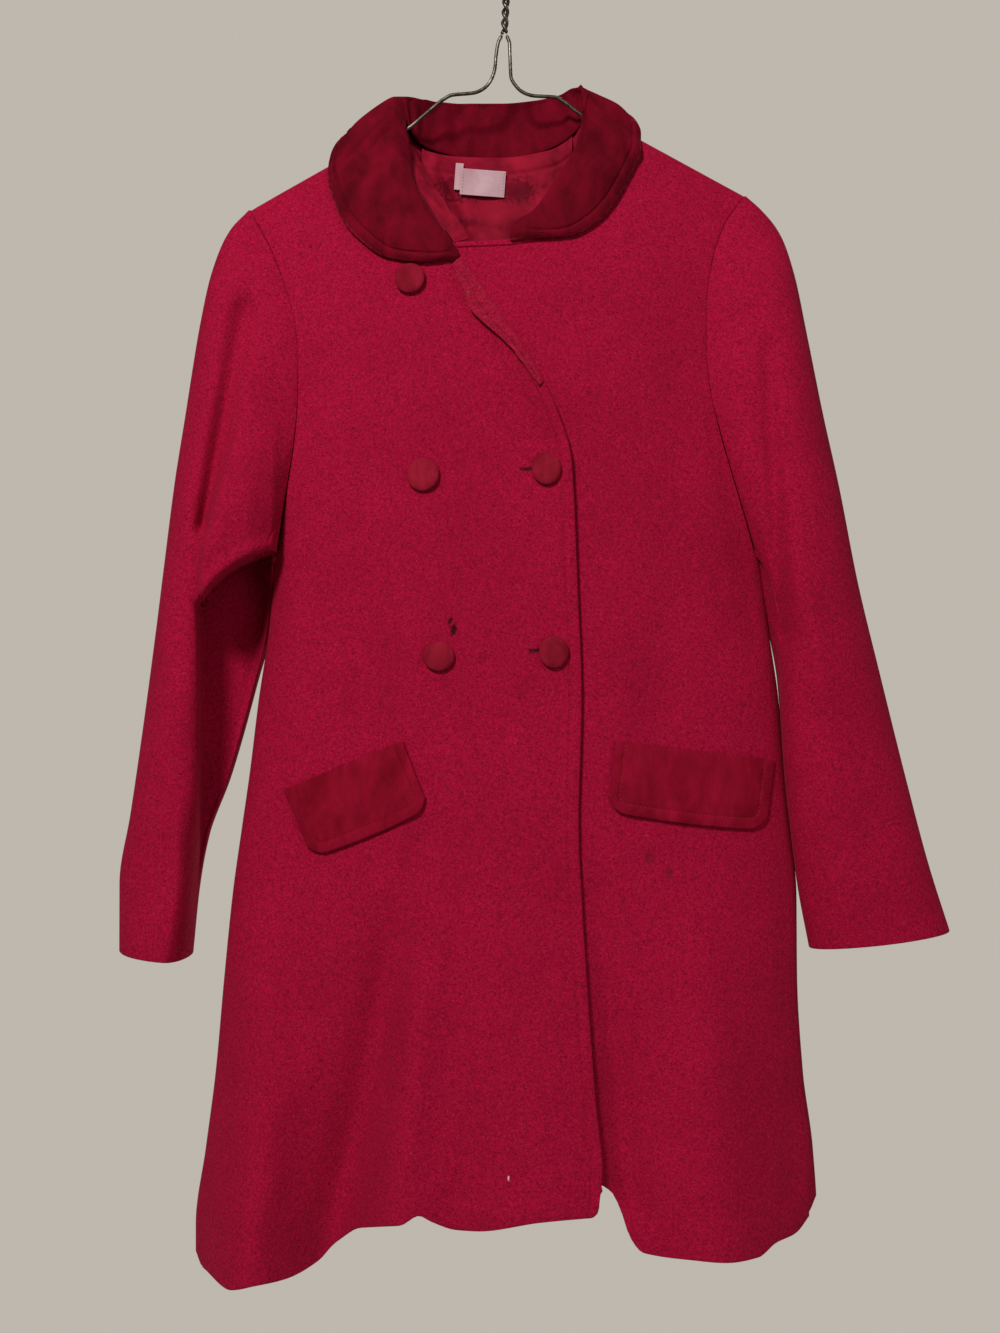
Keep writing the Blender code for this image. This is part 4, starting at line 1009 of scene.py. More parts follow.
@dataclass(frozen=True)
class WireFinish:
    """Drawn steel wire with a worn lacquer: grey-olive, brighter where it is rubbed."""

    name: str = "wire"
    worn: tuple = (0.19, 0.172, 0.138)
    lacquer: tuple = (0.055, 0.048, 0.035)

    def material(self) -> bpy.types.Material:
        """Makes the material: rubbed patches, long draw lines and a roughness that follows them."""
        board = NodeBoard(self.name)
        rubbed = board.span(board.noise(190.0, 4.0, 0.6, 0.5), 0.40, 0.66)
        lines = board.noise(900.0, 2.0, 0.6, 0.0, board.mapped((0, 0, 0), (4.0, 4.0, 0.3)))
        colour = board.mix(rubbed, self.lacquer, self.worn)
        board.set(Metallic=0.85)
        rough = board.span(rubbed, 0.0, 1.0, 0.46, 0.30)
        return board.finish(colour, board.bump(lines, 0.25, 0.0001), rough)


@dataclass(frozen=True)
class ThreadFinish:
    """Sewing thread: polyester with a slight gloss and its ply showing."""

    name: str
    colour: tuple

    def material(self) -> bpy.types.Material:
        """Makes the material: the ply as a fine wave in shade and bump."""
        board = NodeBoard(self.name)
        ply = board.wave(1700.0, board.mapped((0, 0, 0), (1, 1, 1), (0.4, 0.6, 0.8)))
        shade = tuple(0.55 * part for part in self.colour)
        board.set(Roughness=0.6, Specular_IOR_Level=0.15)
        return board.finish(board.mix(ply, shade, self.colour), board.bump(ply, 0.5, 0.0001))


class Wardrobe:
    """Every finish of the coat, made once."""

    def __init__(self) -> None:
        """Makes the materials."""
        self.wool = WoolFinish().material()
        self.wool_right = WoolFinish("wool right front", marks=RIGHT_MARKS).material()
        self.wool_left = WoolFinish("wool left front", marks=LEFT_MARKS).material()
        # Wool with painted shade along the facing strip's left edge, where it rolls over.
        self.worn_wool = WoolFinish("wool with painted edge shade", (0.17, 0.003, 0.016), (0.52, 0.011, 0.055),
                                    (0.46, 0.22, 0.19), shade_from=0.0095).material()
        self.velvet = VelvetFinish(rim=0.0955).material()
        self.cord_velvet = VelvetFinish("flap velvet", (0.19, 0.0013, 0.012), (0.37, 0.005, 0.032),
                                        0.0022).material()
        self.button_velvet = VelvetFinish("button velvet", (0.18, 0.004, 0.016), (0.38, 0.013,
                                                                                  0.036)).material()
        self.satin = SatinFinish().material()
        self.neck_satin = SatinFinish("neck satin", marks=NECK_PAINTED_SHADE).material()
        self.tape = TapeFinish().material()
        self.wire = WireFinish().material()
        self.red_thread = ThreadFinish("red thread", (0.26, 0.005, 0.020)).material()
        # Painted shade: a near-black finish for the sheet laid in each buttonhole's slit, standing for the shadow in
        # the opening.
        self.slit = ThreadFinish("slit shade", (0.035, 0.002, 0.005)).material()
        self.pale_thread = ThreadFinish("pale thread", (0.42, 0.035, 0.07)).material()


@dataclass(frozen=True)
class Thread:
    """A row of machine stitches lying on cloth."""

    length: float = 2.7
    gap: float = 0.7
    radius: float = 0.24
    sides: int = 6
    rings: int = 6

    def sew(self, name: str, path: Array, normals: Array, look) -> bpy.types.Object:
        """Makes the stitches: small tubes along the path that rise from the cloth and sink in again.

        Args:
            name: the piece's name.
            path: points on the cloth's face.
            normals: the face's normals there.
            look: the thread's material.

        Returns:
            The object.
        """
        far = np.concatenate([[0.0], np.cumsum(np.linalg.norm(np.diff(path, axis=0), axis=1))])
        count = max(1, int(far[-1] / (self.length + self.gap)))
        start = np.arange(count) * far[-1] / count
        share = np.linspace(0.0, 1.0, self.rings)
        at = start[:, None] + self.length * share[None, :]
        middle = np.stack([np.interp(at, far, path[:, axis]) for axis in range(3)], axis=-1)
        normal = np.stack([np.interp(at, far, normals[:, axis]) for axis in range(3)], axis=-1)
        normal /= np.linalg.norm(normal, axis=-1, keepdims=True)
        way = np.gradient(middle, axis=1)
        way /= np.linalg.norm(way, axis=-1, keepdims=True)
        aside = np.cross(way, normal)
        arch = np.sin(math.pi * share)
        middle = middle + normal * (0.36 * arch**0.6 - 0.26)[None, :, None]
        radius = self.radius * (0.55 + 0.45 * arch**0.5)
        turn = np.linspace(0.0, 2.0 * math.pi, self.sides, endpoint=False)
        ring = (np.cos(turn)[:, None] * aside[:, :, None, :] + np.sin(turn)[:, None] * normal[:, :, None, :])
        points = middle[:, :, None, :] + ring * radius[None, :, None, None]
        index = np.arange(count * self.rings * self.sides).reshape(count, self.rings, self.sides)
        nxt = np.roll(index, -1, axis=2)
        walls = np.stack([index[:, :-1], nxt[:, :-1], nxt[:, 1:], index[:, 1:]], axis=-1).reshape(-1, 4)
        caps = [index[:, ring_number][:, order].reshape(-1, 4)
                for ring_number, order in ((0, [3, 2, 1, 0]), (0, [0, 5, 4, 3]), (-1, [0, 1, 2, 3]), (-1,
                                                                                                      [3, 4, 5, 0]))]
        return CoatMesh.put(name, points.reshape(-1, 3), np.concatenate([walls] + caps), [look])


@dataclass(frozen=True)
class EdgeShape:
    """The relief that sewing gives a turned edge: a full edge, a groove at the stitches, and small puckers.
    """

    stitch_in: float
    groove: float = 0.55
    groove_half: float = 0.9
    swell: float = 0.5
    pucker: float = 0.14

    def relief(self, distance: Array, along: Array) -> Array:
        """Gives how far the face stands out: a bump between edge and stitches, less a bell at the stitches.

        Args:
            distance: how far from the edge.
            along: how far along it.

        Returns:
            The height over the plain face.
        """
        between = np.clip(distance / self.stitch_in, 0.0, 1.0)
        full = self.swell * np.sin(math.pi * between) ** 0.7 * (distance < self.stitch_in)
        sunk = self.groove * np.exp(-(((distance - self.stitch_in) / self.groove_half) ** 2))
        near = np.exp(-((distance - self.stitch_in) / (0.8 * self.stitch_in)) ** 2)
        waves = np.sin(along / 1.9 + 1.3 * np.sin(along / 11.0)) + 0.6 * np.sin(along / 3.1 + 2.0)
        return full - sunk + self.pucker * waves * near


@dataclass
class FrontPanel:
    """One front of the coat, with its turned front edge, topstitching and hem."""

    name: str
    node: str
    side: Side
    rows: list
    hem: list
    depth: Surface
    look: object
    lining: object
    thread: object
    form: CoatForm
    flat: tuple
    area: float
    columns: int = 112
    lines: int = 250
    edge_columns: int = 18
    edge_reach: float = 15.0
    corner: float = 6.0
    shape: EdgeShape = EdgeShape(8.2, 0.85, 0.9, 0.8)
    hem_shape: EdgeShape = EdgeShape(24.0, 0.0, 1.0, 0.7, 0.0)

    def row_at(self, v: Array) -> tuple[Array, Array, Array, Array]:
        """Gives the ends of the lines across the panel: edge X and down, side X and down."""
        keys = (read_column(self.rows, "edge_down") + read_column(self.rows, "side_down")) / 2.0
        keys = (keys - keys[0]) / (keys[-1] - keys[0])
        edge_x, edge_down, side_down = (smooth_curve(keys, read_column(self.rows, name), v)
                                        for name in ("edge_x", "edge_down", "side_down"))
        inset = np.where(side_down < UNDERARM, SEAM_INSET, 0.0)
        side_x = self.form.seam_x(side_down, self.side) - self.side.value * inset
        return edge_x, edge_down, side_x, side_down

    def seen_at(self, distance: Array, v: Array) -> tuple[Array, Array]:
        """Gives the seen place a distance from the front edge on line v, with the hem's shape drawn in
        below.
        """
        edge_x, edge_down, side_x, side_down = self.row_at(v)
        share = distance / np.hypot(side_x - edge_x, side_down - edge_down)
        x = edge_x + (side_x - edge_x) * share
        down = edge_down + (side_down - edge_down) * share
        low_x, low_down, low_side_x, low_side_down = self.row_at(np.array(1.0))
        low_share = distance / np.hypot(low_side_x - low_x, low_side_down - low_down)
        at_hem = low_x + (low_side_x - low_x) * low_share
        straight = low_down + (low_side_down - low_down) * low_share
        hem_down = read_table(self.hem, "x", "down", at_hem) - HALF_WALL
        short = np.clip(1.0 - (distance - HALF_WALL) / self.corner, 0.0, 1.0)
        cut_off = self.corner * (1.0 - np.sqrt(1.0 - short**2)) * ease((v - 0.9) / 0.1)
        return x, down + (hem_down - straight) * ease((v - 0.66) / 0.34) - cut_off

    def surface(self, distance: Array, v: Array) -> Array:
        """Gives real points on the outer face, with the sewn relief.

        Args:
            distance: how far from the front edge.
            v: the line, 0 at the shoulder and 1 at the hem.

        Returns:
            Real points.
        """
        x, down = self.seen_at(distance, v)
        _, edge_down, _, _ = self.row_at(v)
        relief = self.shape.relief(distance, edge_down) * ease((v - 0.05) / 0.05)
        if self.side is Side.RIGHT:
            relief = relief + self.form.edge_roll(distance, edge_down)
        from_hem = (1.0 - v) * 780.0
        relief = relief + self.hem_shape.relief(from_hem, x)
        return self.form.eye.place(x, self.depth(x, down) - relief, down)

    def build(self) -> bpy.types.Object:
        """Makes the panel's wall, with columns crowded at the front edge and rolling over the shoulder."""
        near = np.linspace(HALF_WALL, self.edge_reach, self.edge_columns)
        top = np.array([0.0, 0.001, 0.0025, 0.005, 0.008, 0.012])
        v = np.concatenate([top, np.linspace(0.016, 0.985, self.lines - 12), np.linspace(0.988, 1.0,
                                                                                         6)])[None, :]
        edge_x, edge_down, side_x, side_down = self.row_at(v)
        width = np.hypot(side_x - edge_x, side_down - edge_down)
        part = np.linspace(0.0, 1.0, self.columns - self.edge_columns + 1)[1:]
        part = (0.55 * part + 0.45 * np.sin(0.5 * math.pi * part))[:, None]
        far = self.edge_reach + (width - self.edge_reach) * part
        distance = np.concatenate([np.broadcast_to(near[:, None], (len(near), v.shape[1])), far])
        grid = self.surface(distance, v + 0.0 * distance)
        cut = np.stack([distance, np.broadcast_to(v * 800.0, distance.shape)], axis=-1)
        panel = ClothWall(WOOL).build(self.name, grid, (0, -1, 0), [self.look, self.lining], cut, 14)
        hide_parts(self.node)
        return panel

    def topstitch(self, first: float, last: float) -> bpy.types.Object:
        """Sews the row of stitches along the front edge, between two lines of the panel."""
        v = np.linspace(first, last, 900)
        distance = np.full_like(v, self.shape.stitch_in)
        path = self.surface(distance, v)
        aside = self.surface(distance + 0.8, v) - self.surface(distance - 0.8, v)
        normal = np.cross(np.gradient(path, axis=0), aside)
        normal /= np.linalg.norm(normal, axis=-1, keepdims=True)
        normal *= -np.sign(normal[:, 1:2])
        row = Thread().sew(self.name + "_topstitch", path, normal, self.thread)
        return row


@dataclass
class BackPanel:
    """The coat's back, from side seam to side seam, cut out for the neck and both armholes."""

    name: str
    node: str
    look: object
    lining: object
    form: CoatForm
    flat: tuple = (0.52, 0.80)
    area: float = 0.36
    columns: int = 130
    lines: int = 220
    inset: float = -0.010

    def build(self) -> bpy.types.Object:
        """Makes the back's wall on turns from its middle, with lines that bend from the shoulders to the
        hem.
        """
        top = np.array([0.0, 0.001, 0.0025, 0.005, 0.008, 0.012])
        v = np.concatenate([top, np.linspace(0.016, 1.0, self.lines - 6)])[None, :]
        u = np.linspace(0.0, 1.0, self.columns)[:, None]
        right_down = SHOULDERS[0].down + (RIGHT_HEM[0].down - HALF_WALL - SHOULDERS[0].down) * v
        left_down = SHOULDERS[-1].down + (LEFT_HEM[-1].down - HALF_WALL - SHOULDERS[-1].down) * v
        close = self.inset * ease((v - 0.2) / 0.1) + 0.004
        right_turn = -np.radians(read_table(GIRTHS, "down", "right_turn", right_down)) + close
        left_turn = np.radians(read_table(GIRTHS, "down", "left_turn", left_down)) - close
        turn = right_turn + (left_turn - right_turn) * u
        top_x = CENTRE_X + self.form.half_width(np.sin(turn[:, :1]) * 100.0,
                                                np.array(220.0)) * np.sin(turn[:, :1])
        hem_x = CENTRE_X + self.form.half_width(np.sin(turn[:, -1:]) * 100.0,
                                                np.array(950.0)) * np.sin(turn[:, -1:])
        in_neck = (top_x > BACK_NECK[0].x) & (top_x < BACK_NECK[-1].x)
        top_down = np.where(in_neck, read_table(BACK_NECK, "x", "down", top_x),
                            self.form.shoulder_down(top_x))
        hem_down = read_table(BACK_HEM, "x", "down", hem_x) - HALF_WALL
        sides = right_down + (left_down - right_down) * u
        down = sides + (top_down - sides[:, :1]) * (1 - v) + (hem_down - sides[:, -1:]) * v
        x, y = self.form.round_back(turn, down)
        middle = np.exp(-((x - CENTRE_X) / 0.9) ** 2) * ease((down - 200.0) / 20.0)
        grid = self.form.eye.place(x, y - 0.5 * middle, down)
        cut = np.stack([turn * 190.0, down + 0.0 * turn], axis=-1)
        panel = ClothWall(WOOL).build(self.name, grid, (0, 1, 0), [self.look, self.lining], cut, 12)
        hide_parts(self.node)
        return panel


@dataclass
class Sleeve:
    """A set-in sleeve in two pieces: upper, over the front and outer side, and under, at the back and inner
    side.
    """

    name: str
    node: str
    side: Side
    rings: list
    folds: list
    inner_seam: float
    look: object
    lining: object
    form: CoatForm
    flat: tuple
    area: float
    outer_seam: float = -0.25
    seam_half: float = 0.012
    columns: int = 78
    lines: int = 190
    armhole_clear: float = 0.6
    elbow: bool = False

    def ring_points(self, t: Array, angle: Array) -> Array:
        """Gives points on the plain tube at ring t and each angle: a flattened oval whose front ridge may
        lie aside.

        Args:
            t: ring number.
            angle: angle round the tube, 0 outside and in front for a positive sine.

        Returns:
            Real points.
        """
        number = np.arange(len(self.rings), dtype=float)
        read = {name: smooth_curve(number, read_column(self.rings, name), t) for name in Ring._fields}
        eye = self.form.eye
        outer = eye.place(read["outer_x"], read["outer_y"], read["outer_down"])
        inner = eye.place(read["inner_x"], read["inner_y"], read["inner_down"])
        middle = (outer + inner) / 2.0
        half = (outer - inner) / 2.0
        length = np.hypot(half[..., 0], half[..., 2])
        bow_x = -self.side.value * np.abs(half[..., 2]) / length
        bow_z = self.side.value * np.sign(half[..., 2]) * half[..., 0] / length
        cosine = np.cos(angle)
        sine = np.sin(angle)
        ridge = np.where(sine >= 0, read["ridge"], 0.0)
        share = ridge + np.where(cosine >= 0, 1.0 - ridge, 1.0 + ridge) * cosine
        edge_y = np.where(cosine >= 0, read["outer_y"], read["inner_y"])
        far_y = np.where(sine >= 0, read["front_y"], read["back_y"])
        y = edge_y + (far_y - edge_y) * np.abs(sine)
        bow = read["bow"] * (1.0 - share**2)
        x = middle[..., 0] + half[..., 0] * share + bow_x * bow
        z = middle[..., 2] + half[..., 2] * share + bow_z * bow
        return np.stack([x, y, z], axis=-1)

    def elbow_depth(self, x: Array, down: Array, y: Array) -> Array:
        """Folds the elbow: the cloth inside the ridge bulges, ends in a lip, and steps back to the layer
        behind.

        Args:
            x: seen X.
            down: seen down.
            y: depth of the plain tube.

        Returns:
            The folded depth.
        """
        past_ridge = x - read_table(ELBOW_RIDGE, "down", "x", down)
        past_forearm = x - read_table(FOREARM_EDGE, "down", "x", down)
        below_lip = down - read_table(ELBOW_LIP, "x", "down", x)
        above = ease(-below_lip / 4.0 + 0.5)
        grows = ease((down - 345.0) / 110.0)
        bulge = 11.0 * ease(past_ridge / 5.5 + 0.4) * grows * above * ease((-150.0 - x) / 14.0)
        lip_roll = 3.0 * np.exp(-((below_lip + 7.0) / 6.0) ** 2) * above * ease(past_ridge / 8.0)
        layer = 4.0 + 0.30 * np.clip(past_forearm, 0.0, 60.0)
        hollow = 12.0 * np.exp(-np.clip(below_lip, 0.0, None) / 26.0)
        behind = np.maximum(layer + hollow, y)
        step = ease(past_forearm / 4.5 + 0.5) * (1.0 - above) * ease((740.0 - down) / 60.0)
        to_lip = np.clip(-below_lip / 10.0, 0.0, 1.0)
        to_edge = np.clip(-past_forearm / 9.0, 0.0, 1.0)
        short = np.clip(1.0 - np.maximum(to_lip, to_edge), 0.0, 1.0)
        turned = 7.0 * (1.0 - np.sqrt(1.0 - short**2)) * ease((down - 440.0) / 30.0) * ease((735.0
                                                                                             - down) / 60.0)
        return (y - bulge - lip_roll + turned) * (1.0 - step) + behind * step

    def points(self, angle: Array, t: Array) -> Array:
        """Gives the sleeve's outer face: the tube, drawn to the armhole at its head, with its folds.

        Args:
            angle: angles round the sleeve.
            t: ring numbers.

        Returns:
            Real points.
        """
        points = self.ring_points(t, angle)
        loop = self.form.armhole(angle[:, :1], self.side)
        first = self.ring_points(0.0 * angle[:, :1], angle[:, :1])
        points = points + (loop - first) * np.clip(1.0 - t / 3.0, 0.0, 1.0)[..., None] ** 2
        roll = np.clip(np.cos(angle), 0.0, 1.0) ** 2
        points[..., 0] += self.side.value * (self.armhole_clear + 1.2 * roll) * np.clip(1.0 - t, 0.0, 1.0)
        ahead = ease(np.sin(angle) / 0.35)
        x, down = self.form.eye.seen(points)
        calm = ease(t / 1.5)
        rise = fold_height(self.folds, x, down) + ripple(x, down, 31 + self.side.value, 8, 55.0, 0.7)
        head = 0.9 * np.exp(-((t - 0.35) / 0.35) ** 2) * (0.6 + 0.4 * np.sin(angle * 17.0))
        y = points[..., 1] - rise * ahead * calm - head * ahead
        if self.elbow:
            y = y + (self.elbow_depth(x, down, y) - y) * ahead
        back = (fold_height(BACK_SLEEVE_FOLDS, np.abs(x), down) + ripple(x, down, 41, 8, 60.0, 0.8)) * calm
        y = y + back * ease(-np.sin(angle) / 0.35)
        full = 9.0 * np.exp(-(((t - 3.2) / 2.4) ** 2)) * calm
        x = x - self.side.value * full * ease(-np.sin(angle) / 0.5) * ease(-np.cos(angle) / 0.6)
        return self.form.eye.place(x, y, down)

    def build(self) -> list[bpy.types.Object]:
        """Makes the two pieces, each with rolled seam edges and a turned cuff."""
        last = len(self.rings) - 1.0 - 0.025
        t = (np.linspace(0.0, 1.0, self.lines) ** 1.1 * last)[None, :]
        pieces = []
        spans = {"upper": (self.outer_seam + self.seam_half, self.inner_seam - self.seam_half,
                           (self.side.value, -1, 0)),
                 "under": (self.inner_seam + self.seam_half, self.outer_seam + 2.0 * math.pi - self.seam_half,
                           (0, 1, 0))}
        for word, (start, end, outward) in spans.items():
            angle = np.linspace(start, end, self.columns)[:, None]
            grid = self.points(angle + 0.0 * t, t + 0.0 * angle)
            cut = np.stack([angle * 32.0 + 0.0 * t, t * 48.0 + 0.0 * angle], axis=-1)
            piece = ClothWall(WOOL).build(f"{self.name}_{word}", grid, outward, [self.look, self.lining],
                                          cut, 12)
            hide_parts(f"{self.node}_{word}")
            pieces.append(piece)
        return pieces


BACK_SLEEVE_FOLDS = [
    Fold(206, 330, 200, 470, 10, 12, 1, -3), Fold(214, 470, 236, 560, 9, 10, -3, -1),
    Fold(198, 540, 214, 620, 8, 8, 2, 3), Fold(236, 600, 262, 730, 12, 14, 0, -2),
]


@dataclass
class Collar:
    """The velvet collar: a strip that stands up from the neck, rolls over and falls on the coat."""

    name: str
    node: str
    look: object
    thread: object
    form: CoatForm
    stations: int = 420
    columns: int = 66
    seam_clear: float = 1.4
    fall_clear: float = 1.8
    shoulder_clear: float = 3.0
    swell: float = 2.6
    flat: tuple = (0.46, 0.11)
    area: float = 0.044
    edge: EdgeShape = EdgeShape(7.4, 0.85, 0.9, 0.9, 0.2)

    def lines(self, t: Array) -> Array:
        """Gives the seam, roll, mid fall and outer edge at station t, stacked on the second axis.

        Args:
            t: station numbers.

        Returns:
            Real points, stations by four lines.
        """
        number = np.arange(len(COLLAR), dtype=float)
        read = {name: smooth_curve(number, read_column(COLLAR, name), t) for name in Station._fields}
        form = self.form
        turn = read["turn"]
        side = read["seam_x"] - CENTRE_X
        seam_clear = np.where(turn < 0.0, self.seam_clear, -0.5)
        seam_y = form.stand(read["seam_x"], read["seam_down"], turn, seam_clear, side)
        behind = np.clip(turn, 0.0, 1.0)
        foot_x = read["roll_x"] + (read["seam_x"] - read["roll_x"]) * behind
        foot_down = read["roll_down"] + (read["seam_down"] - read["roll_down"]) * behind
        roll_y = form.stand(foot_x, foot_down, turn, read["rise"] * (1.0 - 0.4 * behind), side)
        middle_x = 0.45 * read["roll_x"] + 0.55 * read["edge_x"]
        middle_down = 0.45 * read["roll_down"] + 0.55 * read["edge_down"]
        crown_left = np.exp(-(((t - 18.0) / 1.3) ** 2))
        crown_right = np.exp(-(((t - 7.2) / 1.3) ** 2))
        middle_down = middle_down - 3.5 * crown_left - 3.5 * crown_right
        middle_x = middle_x + 2.5 * crown_left - 2.5 * crown_right
        middle_y = form.stand(middle_x, middle_down, turn, 0.75 * read["rise"] + self.swell, side)
        below = read["edge_down"] - form.shoulder_down(read["edge_x"])
        clear = VELVET + self.fall_clear + self.shoulder_clear * np.exp(-(((below - 5.0) / 8.0) ** 2))
        edge_y = form.stand(read["edge_x"], read["edge_down"], turn, clear, side)
        place = form.eye.place
        return np.stack([place(read["seam_x"], seam_y, read["seam_down"]), place(read["roll_x"], roll_y,
                                                                                 read["roll_down"]),
                         place(middle_x, middle_y, middle_down), place(read["edge_x"], edge_y,
                                                                       read["edge_down"])], axis=1)

    def plain(self, t: Array, across: Array) -> Array:
        """Gives the plain strip at stations t and shares across it, a cubic through its four lines."""
        keys = np.array([0.0, 0.32, 0.66, 1.0])
        lines = self.lines(t)
        index = np.clip(np.searchsorted(keys, across, side="right") - 1, 0, 2)
        step = np.diff(keys)
        rise = np.diff(lines, axis=1) / step[None, :, None]
        slope = np.empty_like(lines)
        slope[:, 0] = rise[:, 0]
        slope[:, -1] = rise[:, -1]
        product = rise[:, :-1] * rise[:, 1:]
        safe = np.where(product > 0, rise[:, :-1] + rise[:, 1:], 1.0)
        slope[:, 1:-1] = np.where(product > 0, 2.0 * product / safe, 0.0)
        s = ((across - keys[index]) / step[index])[None, :, None]
        width = step[index][None, :, None]
        out = ((1 + 2 * s) * (1 - s) ** 2 * lines[:, index] + s * s * (3 - 2 * s) * lines[:, index + 1]
               + (s * (1 - s) ** 2 * slope[:, index] - s * s * (1 - s) * slope[:, index + 1]) * width)
        return out

    def surface(self, t: Array, across: Array) -> Array:
        """Gives the outer face with its sewn edge, the stand's soft wrinkles and the fall's crease.

        Args:
            t: station numbers.
            across: shares across, 0 at the neck seam and 1 at the outer edge.

        Returns:
            Real points.
        """
        grid = self.plain(t, across)
        normal = grid_normals(grid, (0, -1, 0))
        steps = np.linalg.norm(np.diff(grid, axis=1), axis=-1)
        run = np.concatenate([np.zeros((len(t), 1)), np.cumsum(steps, axis=1)], axis=1)
        to_edge = run[:, -1:] - run
        length = np.cumsum(np.concatenate([[0.0], np.linalg.norm(np.diff(grid[:, -1], axis=0), axis=1)]))[:,
                                                                                                          None]
        to_end = np.minimum(length, length[-1] - length)
        distance = np.minimum(to_edge, np.maximum(to_end, 0.0)) + 0.0 * run
        relief = self.edge.relief(to_edge, length + 0.0 * run) * ease(to_end / 12.0)
        stand = ease((0.34 - across) / 0.1)[None, :] * ease(across / 0.08)[None, :]
        behind = (ease((t - 8.0) / 2.0) * ease((19.5 - t) / 2.0))[:, None]
        wrinkles = np.sin(t * 4.1 + 0.8 * np.sin(t * 1.7)) * 0.8 + np.sin(t * 7.3 + 1.1) * 0.45
        relief = relief + wrinkles[:, None] * stand * behind
        fall = ease((across - 0.36) / 0.12)[None, :]
        relief = relief + 0.5 * np.sin(t * 2.3 + 0.6)[:, None] * fall * ease(distance / 14.0)
        crease = np.exp(-(((t[:, None] - 20.3 + 1.9 * across[None, :]) / 0.16) ** 2)) * fall * (across < 0.93)
        relief = relief - 0.8 * crease
        return grid + normal * relief[..., None]

    def build(self) -> bpy.types.Object:
        """Makes the collar's wall."""
        t = np.linspace(0.04, len(COLLAR) - 1.04, self.stations)
        across = np.concatenate([np.linspace(0.012, 0.78, self.columns - 30), np.linspace(0.79, 0.984, 30)])
        grid = self.surface(t, across)
        cut = np.stack([t[:, None] * 17.0 + 0.0 * across, across * 96.0 + 0.0 * t[:, None]], axis=-1)
        collar = ClothWall(VELVET + 0.3).build(self.name, grid, (0, -1, 0), [self.look], cut)
        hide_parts(self.node)
        return collar

    def topstitch(self) -> bpy.types.Object:
        """Sews the row of stitches that follows the collar's outer edge."""
        t = np.linspace(0.35, len(COLLAR) - 1.35, 1500)
        across = np.linspace(0.80, 1.0, 60)
        grid = self.surface(t, across)
        normal = grid_normals(grid, (0, -1, 0))
        steps = np.linalg.norm(np.diff(grid, axis=1), axis=-1)
        run = np.concatenate([np.zeros((len(t), 1)), np.cumsum(steps, axis=1)], axis=1)
        to_edge = run[:, -1:] - run
        column = np.abs(to_edge - self.edge.stitch_in - 0.8).argmin(axis=1)
        rows = np.arange(len(t))
        row = Thread().sew(self.name + "_topstitch", grid[rows, column], normal[rows, column], self.thread)
        return row


